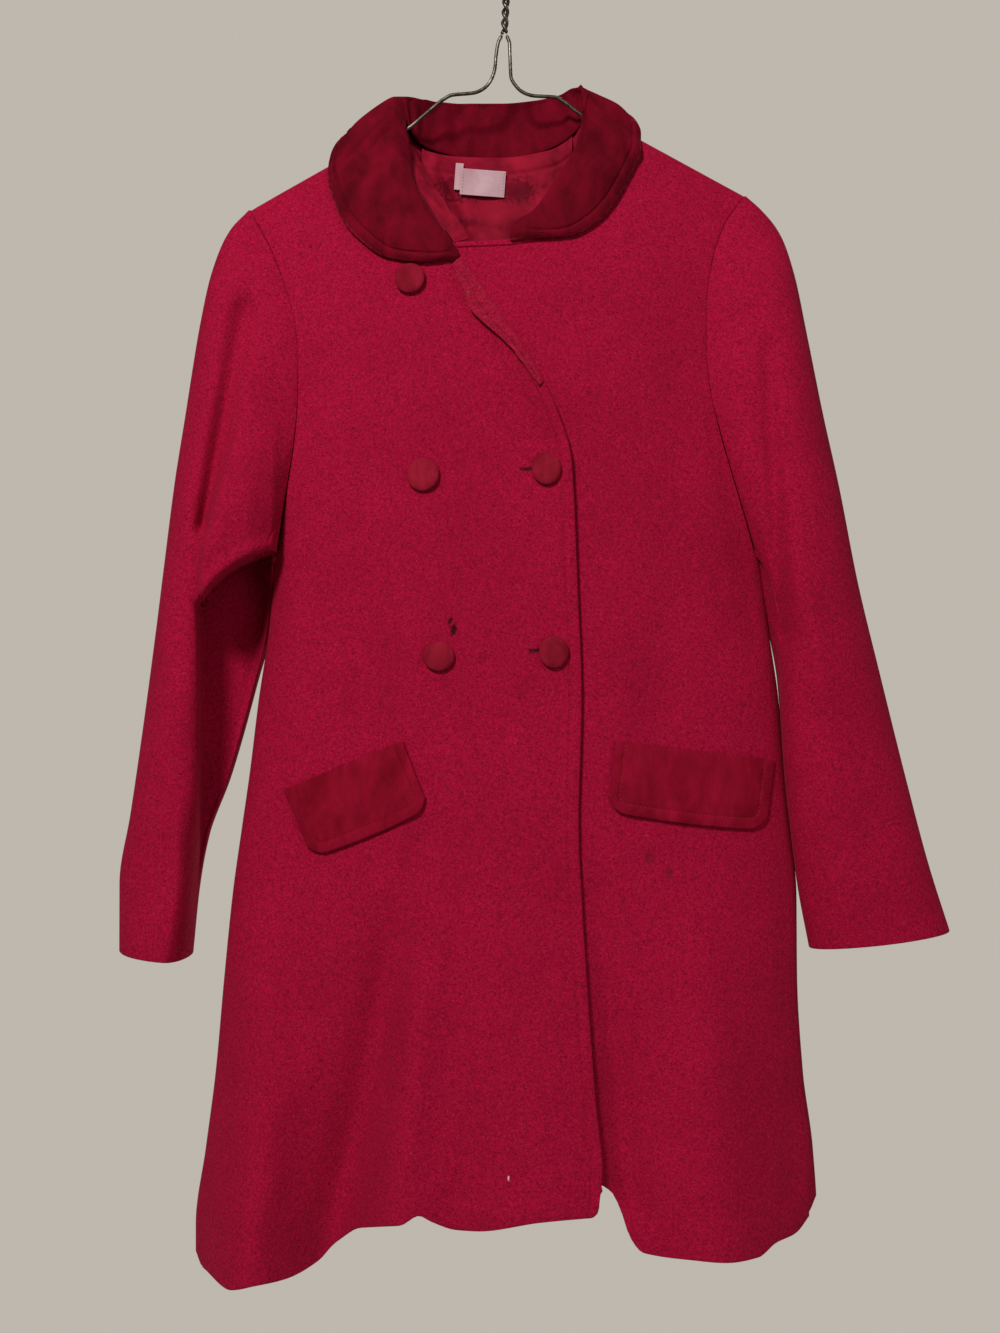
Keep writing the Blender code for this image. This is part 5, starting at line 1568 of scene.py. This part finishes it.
@dataclass
class PocketFlap:
    """A velvet pocket flap: a turned rectangle with rounded lower corners, lying on its front."""

    name: str
    node: str
    corner_top: Point
    turn: float
    long: float
    high: float
    corner: float
    depth: Surface
    look: object
    thread: object
    form: CoatForm
    flat: tuple = (0.094, 0.056)
    bow: float = 2.0
    clear: float = 1.3
    stitch_in: float = 7.6
    columns: int = 100
    lines: int = 52

    def seen_at(self, a: Array, b: Array) -> tuple[Array, Array]:
        """Turns a place on the flap, a along its top and b below it, into a seen place."""
        x = self.corner_top.x + a * math.cos(self.turn) - b * math.sin(self.turn)
        return x, self.corner_top.down + a * math.sin(self.turn) + b * math.cos(self.turn)

    def low_edge(self, a: Array) -> Array:
        """Gives the low edge's b, bowed down at its middle."""
        return self.high + self.bow * (np.sin(math.pi * np.clip(a / self.long, 0.0, 1.0)) - 1.0)

    def edge_distance(self, a: Array, b: Array) -> Array:
        """Gives the distance to the sides and low edge, round at the corners."""
        to_side = np.minimum(a, self.long - a)
        to_low = self.low_edge(a) - b
        far = np.hypot(np.clip(self.corner - to_side, 0.0, None), np.clip(self.corner - to_low, 0.0, None))
        in_corner = (to_side < self.corner) & (to_low < self.corner)
        return np.where(in_corner, self.corner - far, np.minimum(to_side, to_low))

    def surface(self, a: Array, b: Array) -> Array:
        """Gives the outer face: the front's own face, lifted, with a stitched groove, a swell and a dipped
        top seam.
        """
        shape = EdgeShape(self.stitch_in, 0.6, 0.9, 0.55, 0.12)
        distance = self.edge_distance(a, b)
        relief = shape.relief(distance, a + b) + 0.5 * ease((distance - self.stitch_in) / 12.0)
        relief = relief - 1.2 * np.exp(-np.clip(b, 0.0, None) / 2.2) + ripple(a, b, 61, 6, 24.0, 0.18)
        x, down = self.seen_at(a, b)
        return self.form.eye.place(x, self.depth(x, down) - VELVET - self.clear - relief, down)

    def build(self) -> bpy.types.Object:
        """Makes the flap's wall, with its columns drawn in round the lower corners."""
        share = (1.0 - np.cos(np.linspace(0.0, math.pi, self.columns))) / 2.0
        a = HALF_WALL + (self.long - 2.0 * HALF_WALL) * share
        short = np.clip(1.0 - np.minimum(a, self.long - a) / self.corner, 0.0, 1.0)
        low = self.low_edge(a) - self.corner * (1.0 - np.sqrt(1.0 - short**2))
        v = np.linspace(0.0, 1.0, self.lines)[None, :]
        a = a[:, None] + 0.0 * v
        b = HALF_WALL + (low - 2.0 * HALF_WALL)[:, None] * v
        flap = ClothWall(VELVET).build(self.name, self.surface(a, b), (0, -1, 0), [self.look],
                                       np.stack([a, b], axis=-1))
        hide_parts(self.node)
        return flap

    def topstitch(self) -> bpy.types.Object:
        """Sews the stitches down one side, along the low edge and up the other side."""
        inset = self.stitch_in
        radius = self.corner - inset
        turn = np.linspace(0.0, 0.5 * math.pi, 12)
        along = np.linspace(inset + radius, self.long - inset - radius, 60)
        low = self.low_edge(along) - inset
        side = np.linspace(2.0, low[0] - radius, 24)
        a = np.concatenate([np.full(24, inset), inset + radius * (1.0 - np.cos(turn))[1:], along[1:-1],
                            self.long - inset - radius * (1.0 - np.sin(turn)), np.full(23,
                                                                                       self.long - inset)])
        b = np.concatenate([side, low[0] - radius * (1.0 - np.sin(turn))[1:], low[1:-1],
                            low[-1] - radius * (1.0 - np.cos(turn)), side[::-1][1:]])
        path = self.surface(a, b)
        aside = self.surface(a + 1.0, b) - self.surface(a - 1.0, b)
        below = self.surface(a, b + 1.0) - self.surface(a, b - 1.0)
        normal = np.cross(aside, below)
        normal /= np.linalg.norm(normal, axis=-1, keepdims=True)
        normal *= -np.sign(normal[:, 1:2])
        row = Thread(2.3, 0.7, 0.22).sew(self.name + "_topstitch", path, normal, self.thread)
        return row


@dataclass
class CoveredButton:
    """A shank button covered in cloth: a low dome whose cover is drawn tight over its rim to a flat back."""

    name: str
    node: str
    x: float
    down: float
    wide: float
    high: float
    depth: Surface
    look: object
    form: CoatForm
    height: float = 5.0
    clear: float = 0.6
    sides: int = 64
    profile: tuple = ((0.0, 0.02), (0.30, 0.0), (0.62, 0.0), (0.80, 0.03), (0.92, 0.12), (0.985, 0.25),
                      (1.0, 0.38),
                      (0.985, 0.50), (0.95, 0.60), (0.88, 0.70), (0.76, 0.81), (0.60, 0.90), (0.40, 0.96),
                      (0.20, 0.99),
                      (0.0, 1.0))

    def frame(self) -> tuple[Array, Array, Array, Array]:
        """Gives the button's seat on the cloth, and its right, down and out directions."""
        step = 4.0
        ends = [self.form.eye.place(np.array(self.x + i), self.depth(np.array(self.x + i),
                                                                     np.array(self.down + j)),
                                    np.array(self.down + j))
                for i, j in ((-step, 0.0), (step, 0.0), (0.0, -step), (0.0, step))]
        right = ends[1] - ends[0]
        right = right / np.linalg.norm(right)
        out = np.cross(ends[3] - ends[2], right)
        out = out / np.linalg.norm(out)
        out = out if out[1] < 0 else -out
        seat = self.form.eye.place(np.array(self.x), self.depth(np.array(self.x), np.array(self.down)),
                                   np.array(self.down))
        return seat, right, np.cross(out, right), out

    def build(self) -> bpy.types.Object:
        """Makes the button: the profile carried round an oval, with the cover's small gathers near its
        back.
        """
        seat, right, below, out = self.frame()
        radius = read_column([Point(*pair) for pair in self.profile], "x")
        level = read_column([Point(*pair) for pair in self.profile], "down")
        turn = np.linspace(0.0, 2.0 * math.pi, self.sides, endpoint=False)
        gather = 1.0 + 0.02 * np.sin(turn * 14.0)[None, :] * np.exp(-((level - 0.12) / 0.12) ** 2)[:, None]
        uneven = 1.0 + 0.012 * np.sin(2.0 * turn + self.x)[None, :]
        reach = radius[1:-1, None] * gather[1:-1] * uneven
        flat = (right * np.cos(turn)[:, None] * self.wide + below * np.sin(turn)[:, None] * self.high)
        body = seat + out * self.clear + reach[..., None] * flat[None] + (level[1:-1, None,
                                                                                None] * self.height) * out
        rings, sides = body.shape[:2]
        ends = np.stack([seat + out * (self.clear + level[0] * self.height),
                         seat + out * (self.clear + self.height)])
        points = np.concatenate([body.reshape(-1, 3), ends])
        index = np.arange(rings * sides).reshape(rings, sides)
        nxt = np.roll(index, -1, axis=1)
        walls = np.stack([index[:-1], nxt[:-1], nxt[1:], index[1:]], axis=-1).reshape(-1, 4)
        pair = np.arange(0, sides, 2)
        low = np.stack([index[0][(pair + 2) % sides], index[0][pair + 1], index[0][pair],
                        np.full(len(pair), rings * sides)], axis=-1)
        top = np.stack([index[-1][pair], index[-1][pair + 1], index[-1][(pair + 2) % sides],
                        np.full(len(pair), rings * sides + 1)], axis=-1)
        button = CoatMesh.put(self.name, points, np.concatenate([walls, low, top]), [self.look])
        outward_check(button)
        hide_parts(self.node)
        return button


def outward_check(thing: bpy.types.Object) -> None:
    """Turns a closed mesh's faces outward if its signed volume is negative."""
    mesh = thing.data
    count = len(mesh.polygons)
    corners = np.empty(count * 4, np.int32)
    mesh.loops.foreach_get("vertex_index", corners)
    spots = np.empty(len(mesh.vertices) * 3, np.float32)
    mesh.vertices.foreach_get("co", spots)
    quad = spots.reshape(-1, 3)[corners.reshape(-1, 4)]
    quad = quad - quad.reshape(-1, 3).mean(axis=0)
    volume = (np.cross(quad[:, 0], quad[:, 1]) * quad[:, 2]).sum() + (np.cross(quad[:, 0], quad[:,
                                                                                                2]) * quad[:, 3]).sum()
    if volume < 0:
        mesh.flip_normals()


@dataclass
class Buttonhole:
    """A worked buttonhole: a slit, drawn as a near-black sheet of painted shade, between two lips of close stitches.
    """

    name: str
    x: float
    down: float
    reach: float
    depth: Surface
    thread: object
    # The painted-shade material laid in the slit.
    dark: object
    form: CoatForm

    def build(self) -> bpy.types.Object:
        """Makes the slit as a thin lens of painted shade, and the lips as stitches laid across its two sides."""
        u = np.linspace(0.0, 1.0, 24)[:, None]
        v = np.linspace(-1.0, 1.0, 7)[None, :]
        x = self.x - self.reach + self.reach * u + 0.0 * v
        open_half = 0.55 * np.sin(math.pi * np.clip(u, 0.02, 0.98)) ** 0.5
        down = self.down + open_half * v + 0.35 * np.sin(u * 5.0)
        y = self.depth(x, down) - 0.16 - 0.05 * (1.0 - v**2)
        grid = self.form.eye.place(x, y, down)
        slit = ClothWall(0.12, 1).build(self.name + "_slit", grid, (0, -1, 0), [self.dark],
                                        np.stack([x, down], axis=-1))
        pieces = [slit]
        for sign, word in ((-1.0, "upper"), (1.0, "lower")):
            s = np.linspace(0.0, 1.0, 120)
            lip_x = self.x - self.reach - 0.5 + (self.reach + 0.8) * s
            lip_down = self.down + sign * (0.75 + 0.35 * np.sin(math.pi * s) ** 0.6) + 0.35 * np.sin(s * 5.0)
            path = self.form.eye.place(lip_x, self.depth(lip_x, lip_down) - 0.1, lip_down)
            normal = np.tile([0.0, -1.0, 0.0], (len(s), 1))
            row = Thread(0.55, 0.1, 0.34).sew(f"{self.name}_{word}_lip", path, normal, self.thread)
            pieces.append(row)
        return pieces


@dataclass
class NeckLining:
    """The satin lining that shows inside the back of the neck, with its wrinkles and the pleat at its
    middle.
    """

    name: str
    node: str
    look: object
    form: CoatForm
    left: float = -58.0
    right: float = 47.0
    low: float = 320.0
    top_drop: float = -3.6
    clear: float = 1.2
    columns: int = 110
    lines: int = 95
    flat: tuple = (0.115, 0.145)
    wrinkles: tuple = (
        Fold(-52, 196, -22, 262, 4.0, 5.0, 3.4, 2.4), Fold(-44, 196, -12, 262, 2.6, 3.6, -2.2, -1.4),
        Fold(-2, 205, 6, 300, 5.0, 8.0, 0.6, 1.6), Fold(26, 204, 16, 290, 4.0, 6.0, 1.3, 1.0),
        Fold(38, 200, 34, 280, 3.5, 4.5, -1.0, -1.2), Fold(-30, 232, 20, 236, 3.0, 3.0, 0.8, 0.8),
        Fold(14, 196, 30, 232, 2.4, 3.0, 0.9, 0.4),
    )

    def depth(self, x: Array, down: Array) -> Array:
        """Gives the depth of the lining's hidden face, next to the back."""
        top = read_table(BACK_NECK, "x", "down", x) + self.top_drop
        turned_in = 3.0 * np.exp(-np.clip(down - top, 0.0, None) / 2.5)
        scallop = 0.55 * np.sin(x / 2.1 + np.sin(x / 7.0)) * np.exp(-np.clip(down - top, 0.0, None) / 6.0)
        loose = ease((down - top) / 10.0)
        crease = fold_height(self.wrinkles, x, down) + ripple(x, down, 51, 8, 22.0, 0.35)
        sewn = 0.9 * np.exp(-((down - top - 12.0) / 1.1) ** 2)
        return self.form.back(x, down, False) - WOOL - SATIN - self.clear - np.clip(crease, -0.8,
                                                                                    None) * loose - scallop \
            + sewn + turned_in

    def build(self) -> bpy.types.Object:
        """Makes the lining's wall."""
        u = np.linspace(0.0, 1.0, self.columns)[:, None]
        v = np.linspace(0.0, 1.0, self.lines)[None, :]
        x = self.left + (self.right - self.left) * u + 0.0 * v
        top = read_table(BACK_NECK, "x", "down", x) + self.top_drop
        down = top + (self.low - top) * v
        cut = np.stack([x, down], axis=-1)
        grid = self.form.eye.place(x, self.depth(x, down), down)
        lining = ClothWall(SATIN * 0.6, 2).build(self.name, grid, (0, 1, 0), [self.look], cut)
        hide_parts(self.node)
        return lining


@dataclass
class NeckLabel:
    """The bare woven label: a strip whose left end is turned under, sewn down at both ends."""

    name: str
    node: str
    look: object
    thread: object
    lining: NeckLining
    form: CoatForm
    middle: Point = Point(-15.5, 205.5)
    half_wide: float = 15.5
    half_high: float = 9.0
    tilt: float = 0.075

    def seen_at(self, along: Array, up: Array) -> tuple[Array, Array]:
        """Turns a place on the label into a seen place."""
        x = self.middle.x + along * math.cos(self.tilt) - up * math.sin(self.tilt)
        return x, self.middle.down + along * math.sin(self.tilt) + up * math.cos(self.tilt)

    def build(self) -> list[bpy.types.Object]:
        """Makes the strip with its turned end, and the two rows of stitches."""
        u = np.linspace(-1.0, 1.0, 70)[:, None]
        v = np.linspace(-1.0, 1.0, 30)[None, :]
        along = u * self.half_wide + 0.0 * v
        up = v * self.half_high + 0.0 * u
        x, down = self.seen_at(along, up)
        loft = 0.9 * (1.0 - u**2) * (0.6 + 0.4 * v) + 0.35 * np.sin(u * 4.0 + v)
        y = self.form.back(x, down, False) - WOOL - 2.0 * SATIN - self.lining.clear - 0.4 - loft - 1.6
        cut = np.stack([along, up], axis=-1)
        strip = ClothWall(0.35, 2).build(self.name, self.form.eye.place(x, y, down), (0, -1, 0),
                                         [self.look], cut)
        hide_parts(self.node)
        x, down = self.seen_at(-self.half_wide - 1.6 + u * 2.6 + 0.0 * v, up * 1.02 - 3.2)
        y = self.form.back(x, down, False) - WOOL - 2.0 * SATIN - self.lining.clear - 0.4 - 0.5 * (1.0 + u)
        end = ClothWall(0.35, 2).build(self.name + "_turned_end", self.form.eye.place(x, y, down), (0, -1,
                                                                                                    0), [self.look],
                                       cut)
        pieces = [strip, end]
        for place, word in ((-0.90, "left"), (0.93, "right")):
            s = np.linspace(-0.92, 0.92, 40)
            x, down = self.seen_at(np.full_like(s, place * self.half_wide), s * self.half_high)
            loft = 0.9 * (1.0 - place**2) * (0.6 + 0.4 * s) + 0.35 * np.sin(place * 4.0 + s)
            y = self.form.back(x, down, False) - WOOL - 2.0 * SATIN - self.lining.clear - 2.0 - loft
            row = Thread(1.5, 0.7, 0.14).sew(f"{self.name}_{word}_stitches", self.form.eye.place(x, y, down),
                                             np.tile([0.0, -1.0, 0.0], (len(s), 1)), self.thread)
            pieces.append(row)
        return pieces


@dataclass
class Facing:
    """A strip of the right front's facing."""

    name: str
    node: str
    rows: list
    look: object
    slot: str
    form: CoatForm
    clear: float
    lean: float
    thickness: float
    outward: tuple
    columns: int = 20
    lines: int = 130

    def build(self) -> bpy.types.Object:
        """Makes the strip between its two long sides, wavy along its free side."""
        number = np.arange(len(self.rows), dtype=float)
        t = np.linspace(0.02, len(self.rows) - 1.02, self.lines)[None, :]
        u = np.linspace(0.03, 0.97, self.columns)[:, None]
        read = {name: smooth_curve(number, read_column(self.rows, name), t) for name in Strip._fields}
        wave = 0.5 * np.sin(t * 6.0) * u * (1.0 - ease((t - len(self.rows) + 2.5) / 1.5))
        x = read["edge_x"] + (read["far_x"] - read["edge_x"]) * u + wave
        down = read["edge_down"] + (read["far_down"] - read["edge_down"]) * u + 0.5 * wave
        if self.slot == "wool":
            y_roll = self.form.edge_roll(u * 11.0, down)
        else:
            y_roll = 0.0 * down
        ripple_height = 0.35 * np.sin(t * 9.0 + 3.0 * u) * np.sin(math.pi * u)
        y = self.form.right_front(x, down) + self.clear + self.lean * u + ripple_height - y_roll
        cut = np.stack([u * 12.0 + 0.0 * t, t * 15.0 + 0.0 * u], axis=-1)
        strip = ClothWall(self.thickness).build(self.name, self.form.eye.place(x, y, down), self.outward,
                                                [self.look], cut)
        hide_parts(self.node)
        return strip

    def topstitch(self, thread: object) -> bpy.types.Object:
        """Sews a row of stitches down the middle of the strip."""
        number = np.arange(len(self.rows), dtype=float)
        t = np.linspace(0.2, len(self.rows) - 1.3, 300)
        read = {name: smooth_curve(number, read_column(self.rows, name), t) for name in Strip._fields}
        x = read["edge_x"] + (read["far_x"] - read["edge_x"]) * 0.55
        down = read["edge_down"] + (read["far_down"] - read["edge_down"]) * 0.55
        y = self.form.right_front(x, down) + self.clear + self.lean * 0.55 - self.form.edge_roll(6.0,
                                                                                                 down) - 0.2
        row = Thread().sew(self.name + "_topstitch", self.form.eye.place(x, y, down),
                           np.tile([0.0, -1.0, 0.0], (len(t), 1)), thread)
        return row


@dataclass
class Hanger:
    """The wire hanger: hook, twisted neck, two arms and the bar between their ends."""

    look: object
    radius: float = 1.25
    sides: int = 20
    twist_top: float = 64.0
    twist_low: float = 101.0
    twist_turns: float = 2.5
    twist_radius: float = 1.5
    bar_down: float = 261.0

    def strand(self, start: float) -> Array:
        """Gives one strand of the twisted neck: a helix that leans a little."""
        share = np.linspace(0.0, 1.0, 90)
        angle = start + 2.0 * math.pi * self.twist_turns * share
        x = 1.5 - 2.0 * share + self.twist_radius * np.cos(angle)
        down = self.twist_top + (self.twist_low - self.twist_top) * share
        return np.stack([x, self.twist_radius * np.sin(angle), -down], axis=-1)

    def smooth(self, places: Sequence[tuple], count: int) -> Array:
        """Gives a smooth path in the hanger's plane through its places."""
        spots = np.array([(x, 0.0, -down) for x, down in places], float)
        far = np.concatenate([[0.0], np.cumsum(np.linalg.norm(np.diff(spots, axis=0), axis=1))])
        at = np.linspace(0.0, far[-1], count)
        return np.stack([smooth_curve(far, spots[:, axis], at) for axis in range(3)], axis=-1)

    def tube(self, name: str, node: str, path: Array) -> bpy.types.Object:
        """Carries a circle along a path, with rounded ends.

        Args:
            name: the piece's name.
            node: the CAD node that it stands for.
            path: points of the wire's middle.

        Returns:
            The object.
        """
        way = np.gradient(path, axis=0)
        way /= np.linalg.norm(way, axis=-1, keepdims=True)
        first = np.array([0.0, 1.0, 0.0]) - way * way[:, 1:2]
        first /= np.linalg.norm(first, axis=-1, keepdims=True)
        second = np.cross(way, first)
        step = np.linalg.norm(path[1] - path[0])
        far = np.minimum(np.arange(len(path)), np.arange(len(path))[::-1]) * step
        radius = self.radius * np.sqrt(np.clip(1.0 - np.clip(1.0 - (far + 0.12) / self.radius, 0.0,
                                                             1.0) ** 2, 0.02, 1.0))
        turn = np.linspace(0.0, 2.0 * math.pi, self.sides, endpoint=False)
        ring = np.cos(turn)[:, None] * first[:, None] + np.sin(turn)[:, None] * second[:, None]
        points = path[:, None] + ring * radius[:, None, None]
        index = np.arange(len(path) * self.sides).reshape(len(path), self.sides)
        nxt = np.roll(index, -1, axis=1)
        walls = np.stack([index[:-1], nxt[:-1], nxt[1:], index[1:]], axis=-1).reshape(-1, 4)
        pairs = np.arange(self.sides // 2 - 1)
        start = np.stack([index[0][self.sides - 1 - pairs], index[0][self.sides - 2 - pairs],
                          index[0][pairs + 1],
                          index[0][pairs]], axis=-1)
        end = np.stack([index[-1][pairs], index[-1][pairs + 1], index[-1][self.sides - 2 - pairs],
                        index[-1][self.sides - 1 - pairs]], axis=-1)
        wire = CoatMesh.put(name, points.reshape(-1, 3), np.concatenate([walls, start, end]), [self.look])
        outward_check(wire)
        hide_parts(node)
        return wire

    def build(self) -> list[bpy.types.Object]:
        """Makes the five lengths of wire."""
        hook = np.concatenate([self.smooth(HOOK, 150)[:-2], self.strand(0.0)[1:]])
        right_end, left_end = RIGHT_ARM[-1][0], LEFT_ARM[-1][0]
        bar = np.linspace([right_end + 0.3, 0.0, -self.bar_down], [left_end - 0.3, 0.0, -self.bar_down], 60)
        return [
            self.tube("wire_hook", "hanger_hook", hook),
            self.tube("wire_twist", "hanger_twist", self.strand(math.pi)),
            self.tube("wire_arm_right", "hanger_arm_right", self.smooth(RIGHT_ARM, 320)),
            self.tube("wire_arm_left", "hanger_arm_left", self.smooth(LEFT_ARM, 320)),
            self.tube("wire_bar", "hanger_bar", bar),
        ]


@dataclass
class Studio:
    """The plain studio: a pale floor, soft lights and the camera at the photograph's place."""

    eye: Eye = Eye()
    frame_width: float = 700.0
    floor_down: float = 1400.0
    floor_half: float = 800.0

    def camera(self) -> None:
        """Puts the camera straight in front of the hanger's plane, framing the photograph's width there."""
        lens = bpy.data.cameras.new("camera")
        lens.sensor_fit = "HORIZONTAL"
        lens.sensor_width = 36.0
        lens.lens = lens.sensor_width * self.eye.distance / self.frame_width
        view = bpy.data.objects.new("camera", lens)
        view.location = (self.eye.x * MM, -self.eye.distance * MM, -self.eye.down * MM)
        view.rotation_euler = (0.5 * math.pi, 0.0, 0.0)
        bpy.context.scene.collection.objects.link(view)
        bpy.context.scene.camera = view

    def light(self, name: str, place: Sequence[float], size: float, power: float,
              colour: Sequence[float]) -> None:
        """Puts one soft area light that looks at the coat's middle."""
        lamp = bpy.data.lights.new(name, "AREA")
        lamp.shape = "DISK"
        lamp.size = size
        lamp.energy = power
        lamp.color = colour
        thing = bpy.data.objects.new(name, lamp)
        thing.location = place
        way = Vector((0.0, 0.0, -0.5)) - Vector(place)
        thing.rotation_euler = way.to_track_quat("-Z", "Y").to_euler()
        bpy.context.scene.collection.objects.link(thing)

    def floor(self) -> None:
        """Puts a pale round floor well under the hem."""
        turn = np.linspace(0.0, 2.0 * math.pi, 96, endpoint=False)
        reach = np.array([0.001, 0.5, 1.0]) * self.floor_half
        points = np.stack([reach[:, None] * np.cos(turn), reach[:, None] * np.sin(turn),
                           np.full((3, 96), -self.floor_down)], axis=-1)
        index = np.arange(3 * 96).reshape(3, 96)
        nxt = np.roll(index, -1, axis=1)
        faces = np.stack([index[:-1], index[1:], nxt[1:], nxt[:-1]], axis=-1).reshape(-1, 4)
        board = NodeBoard("floor")
        grain = board.noise(6.0, 3.0)
        board.set(Roughness=0.8)
        look = board.finish(board.mix(grain, (0.66, 0.64, 0.61), (0.70, 0.68, 0.65)))
        mesh = bpy.data.meshes.new("floor")
        mesh.from_pydata((points.reshape(-1, 3) * MM).tolist(), [], faces.tolist())
        mesh.materials.append(look)
        thing = bpy.data.objects.new("floor", mesh)
        bpy.context.scene.collection.objects.link(thing)

    def build(self) -> None:
        """Makes the camera, lights, floor and pale surroundings."""
        self.camera()
        self.floor()
        self.light("key", (-0.85, -2.1, 0.95), 0.5, 52.0, (1.0, 0.97, 0.94))
        self.light("fill", (1.3, -1.8, -0.3), 1.2, 6.0, (0.96, 0.98, 1.0))
        self.light("back", (0.4, 1.8, 0.5), 1.2, 20.0, (1.0, 0.98, 0.96))
        world = bpy.data.worlds.new("studio")
        world.use_nodes = True
        sky = world.node_tree.nodes["Background"]
        sky.inputs["Color"].default_value = (0.60, 0.555, 0.49, 1.0)
        seen = world.node_tree.nodes.new("ShaderNodeLightPath")
        strength = world.node_tree.nodes.new("ShaderNodeMapRange")
        strength.inputs["To Min"].default_value = 0.25
        strength.inputs["To Max"].default_value = 0.86
        world.node_tree.links.new(seen.outputs["Is Camera Ray"], strength.inputs["Value"])
        world.node_tree.links.new(strength.outputs["Result"], sky.inputs["Strength"])
        bpy.context.scene.world = world
        bpy.context.scene.view_settings.view_transform = "Standard"


class Coat:
    """The whole coat, put together."""

    def __init__(self) -> None:
        """Makes the finishes and the body's form."""
        self.looks = Wardrobe()
        self.form = CoatForm()

    def fronts(self) -> dict:
        """Makes both fronts with their topstitching, flaps, buttons and buttonholes."""
        looks, form = self.looks, self.form
        right = FrontPanel("wool_front_right", "front_right", Side.RIGHT, RIGHT_FRONT, RIGHT_HEM,
                           form.right_front,
                           looks.wool_right, looks.satin, looks.red_thread, form, (0.33, 0.82), 0.215)
        left = FrontPanel("wool_front_left", "front_left", Side.LEFT, LEFT_FRONT, LEFT_HEM, form.left_front,
                          looks.wool_left, looks.satin, looks.red_thread, form, (0.35, 0.80), 0.225)
        made = {"right": (right.build(), [right.topstitch(0.13, 0.997)]), "left": (left.build(), [])}
        flaps = [
            PocketFlap("velvet_flap_right", "flap_right", Point(-156.1, 630.4), -0.395, 91.0, 53.8, 13.0,
                       form.right_front, looks.cord_velvet, looks.red_thread, form),
            PocketFlap("velvet_flap_left", "flap_left", Point(77.0, 595.7), 0.118, 113.5, 52.4, 14.5,
                       form.left_front, looks.cord_velvet, looks.pale_thread, form, (0.118, 0.054)),
        ]
        for word, flap in zip(("right", "left"), flaps):
            body = flap.build()
            row = flap.topstitch()
        buttons = [(-66, 273, 10.4, 10.4), (-57, 410, 11.0, 11.0), (-46, 537, 10.8, 9.8), (29, 406, 10.0,
                                                                                           11.2),
                   (34, 534, 10.0, 11.0)]
        for number, (x, down, wide, high) in enumerate(buttons, 1):
            button = CoveredButton(f"covered_button_{number}", f"button_{number}", x, down, wide, high,
                                   form.right_front, looks.button_velvet, form)
            made["right"][1].append(button.build())
        for word, x, down in (("upper", 20.5, 405.5), ("lower", 26.5, 532.5)):
            hole = Buttonhole("buttonhole_" + word, x, down, 10.0, form.right_front, looks.red_thread,
                              looks.slit, form)
            made["right"][1].extend(hole.build())
        for panel, word in ((right, "right"), (left, "left")):
            body, extras = made[word]
            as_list(extras)
        return made

    def back(self) -> None:
        """Makes the back."""
        panel = BackPanel("wool_back", "back", self.looks.wool, self.looks.satin, self.form)
        body = panel.build()

    def sleeves(self) -> None:
        """Makes both sleeves."""
        looks = self.looks
        right = Sleeve("wool_sleeve_right", "sleeve_right", Side.RIGHT, RIGHT_SLEEVE, RIGHT_SLEEVE_FOLDS,
                       math.pi - 0.7,
                       looks.wool, looks.satin, self.form, (0.14, 0.53), 0.058, elbow=True)
        left = Sleeve("wool_sleeve_left", "sleeve_left", Side.LEFT, LEFT_SLEEVE, LEFT_SLEEVE_FOLDS,
                      math.pi - 0.1,
                      looks.wool, looks.satin, self.form, (0.15, 0.53), 0.060)
        for sleeve in (right, left):
            for piece in sleeve.build():
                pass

    def neck(self) -> None:
        """Makes the collar, the lining with its label, and the facing where it shows."""
        looks, form = self.looks, self.form
        collar = Collar("velvet_collar", "collar", looks.velvet, looks.red_thread, form)
        body = collar.build()
        collar.topstitch()
        lining = NeckLining("satin_lining", "lining_back", looks.neck_satin, form)
        label = NeckLabel("neck_label", "label", looks.tape, looks.pale_thread, lining, form)
        lining.build()
        label.build()
        neck = Facing("satin_facing_neck", "facing_neck", NECK_FACING, looks.satin, "satin", form,
                      WOOL + 0.9, 12.0,
                      SATIN, (1, -1, 0))
        edge = Facing("wool_facing_edge", "facing_edge", EDGE_FACING, looks.worn_wool, "wool", form,
                      -SATIN - 0.6, -2.8,
                      SATIN, (0, -1, 0))
        neck.build()
        edge.build()
        edge.topstitch(looks.red_thread)

    def build(self) -> None:
        """Makes every piece."""
        Hanger(self.looks.wire).build()
        self.back()
        self.fronts()
        self.sleeves()
        self.neck()


def main() -> None:
    """Builds the studio and the coat."""
    logging.basicConfig(level=logging.INFO, format="%(message)s")
    Studio().build()
    Coat().build()


if __name__ == "__main__":
    main()
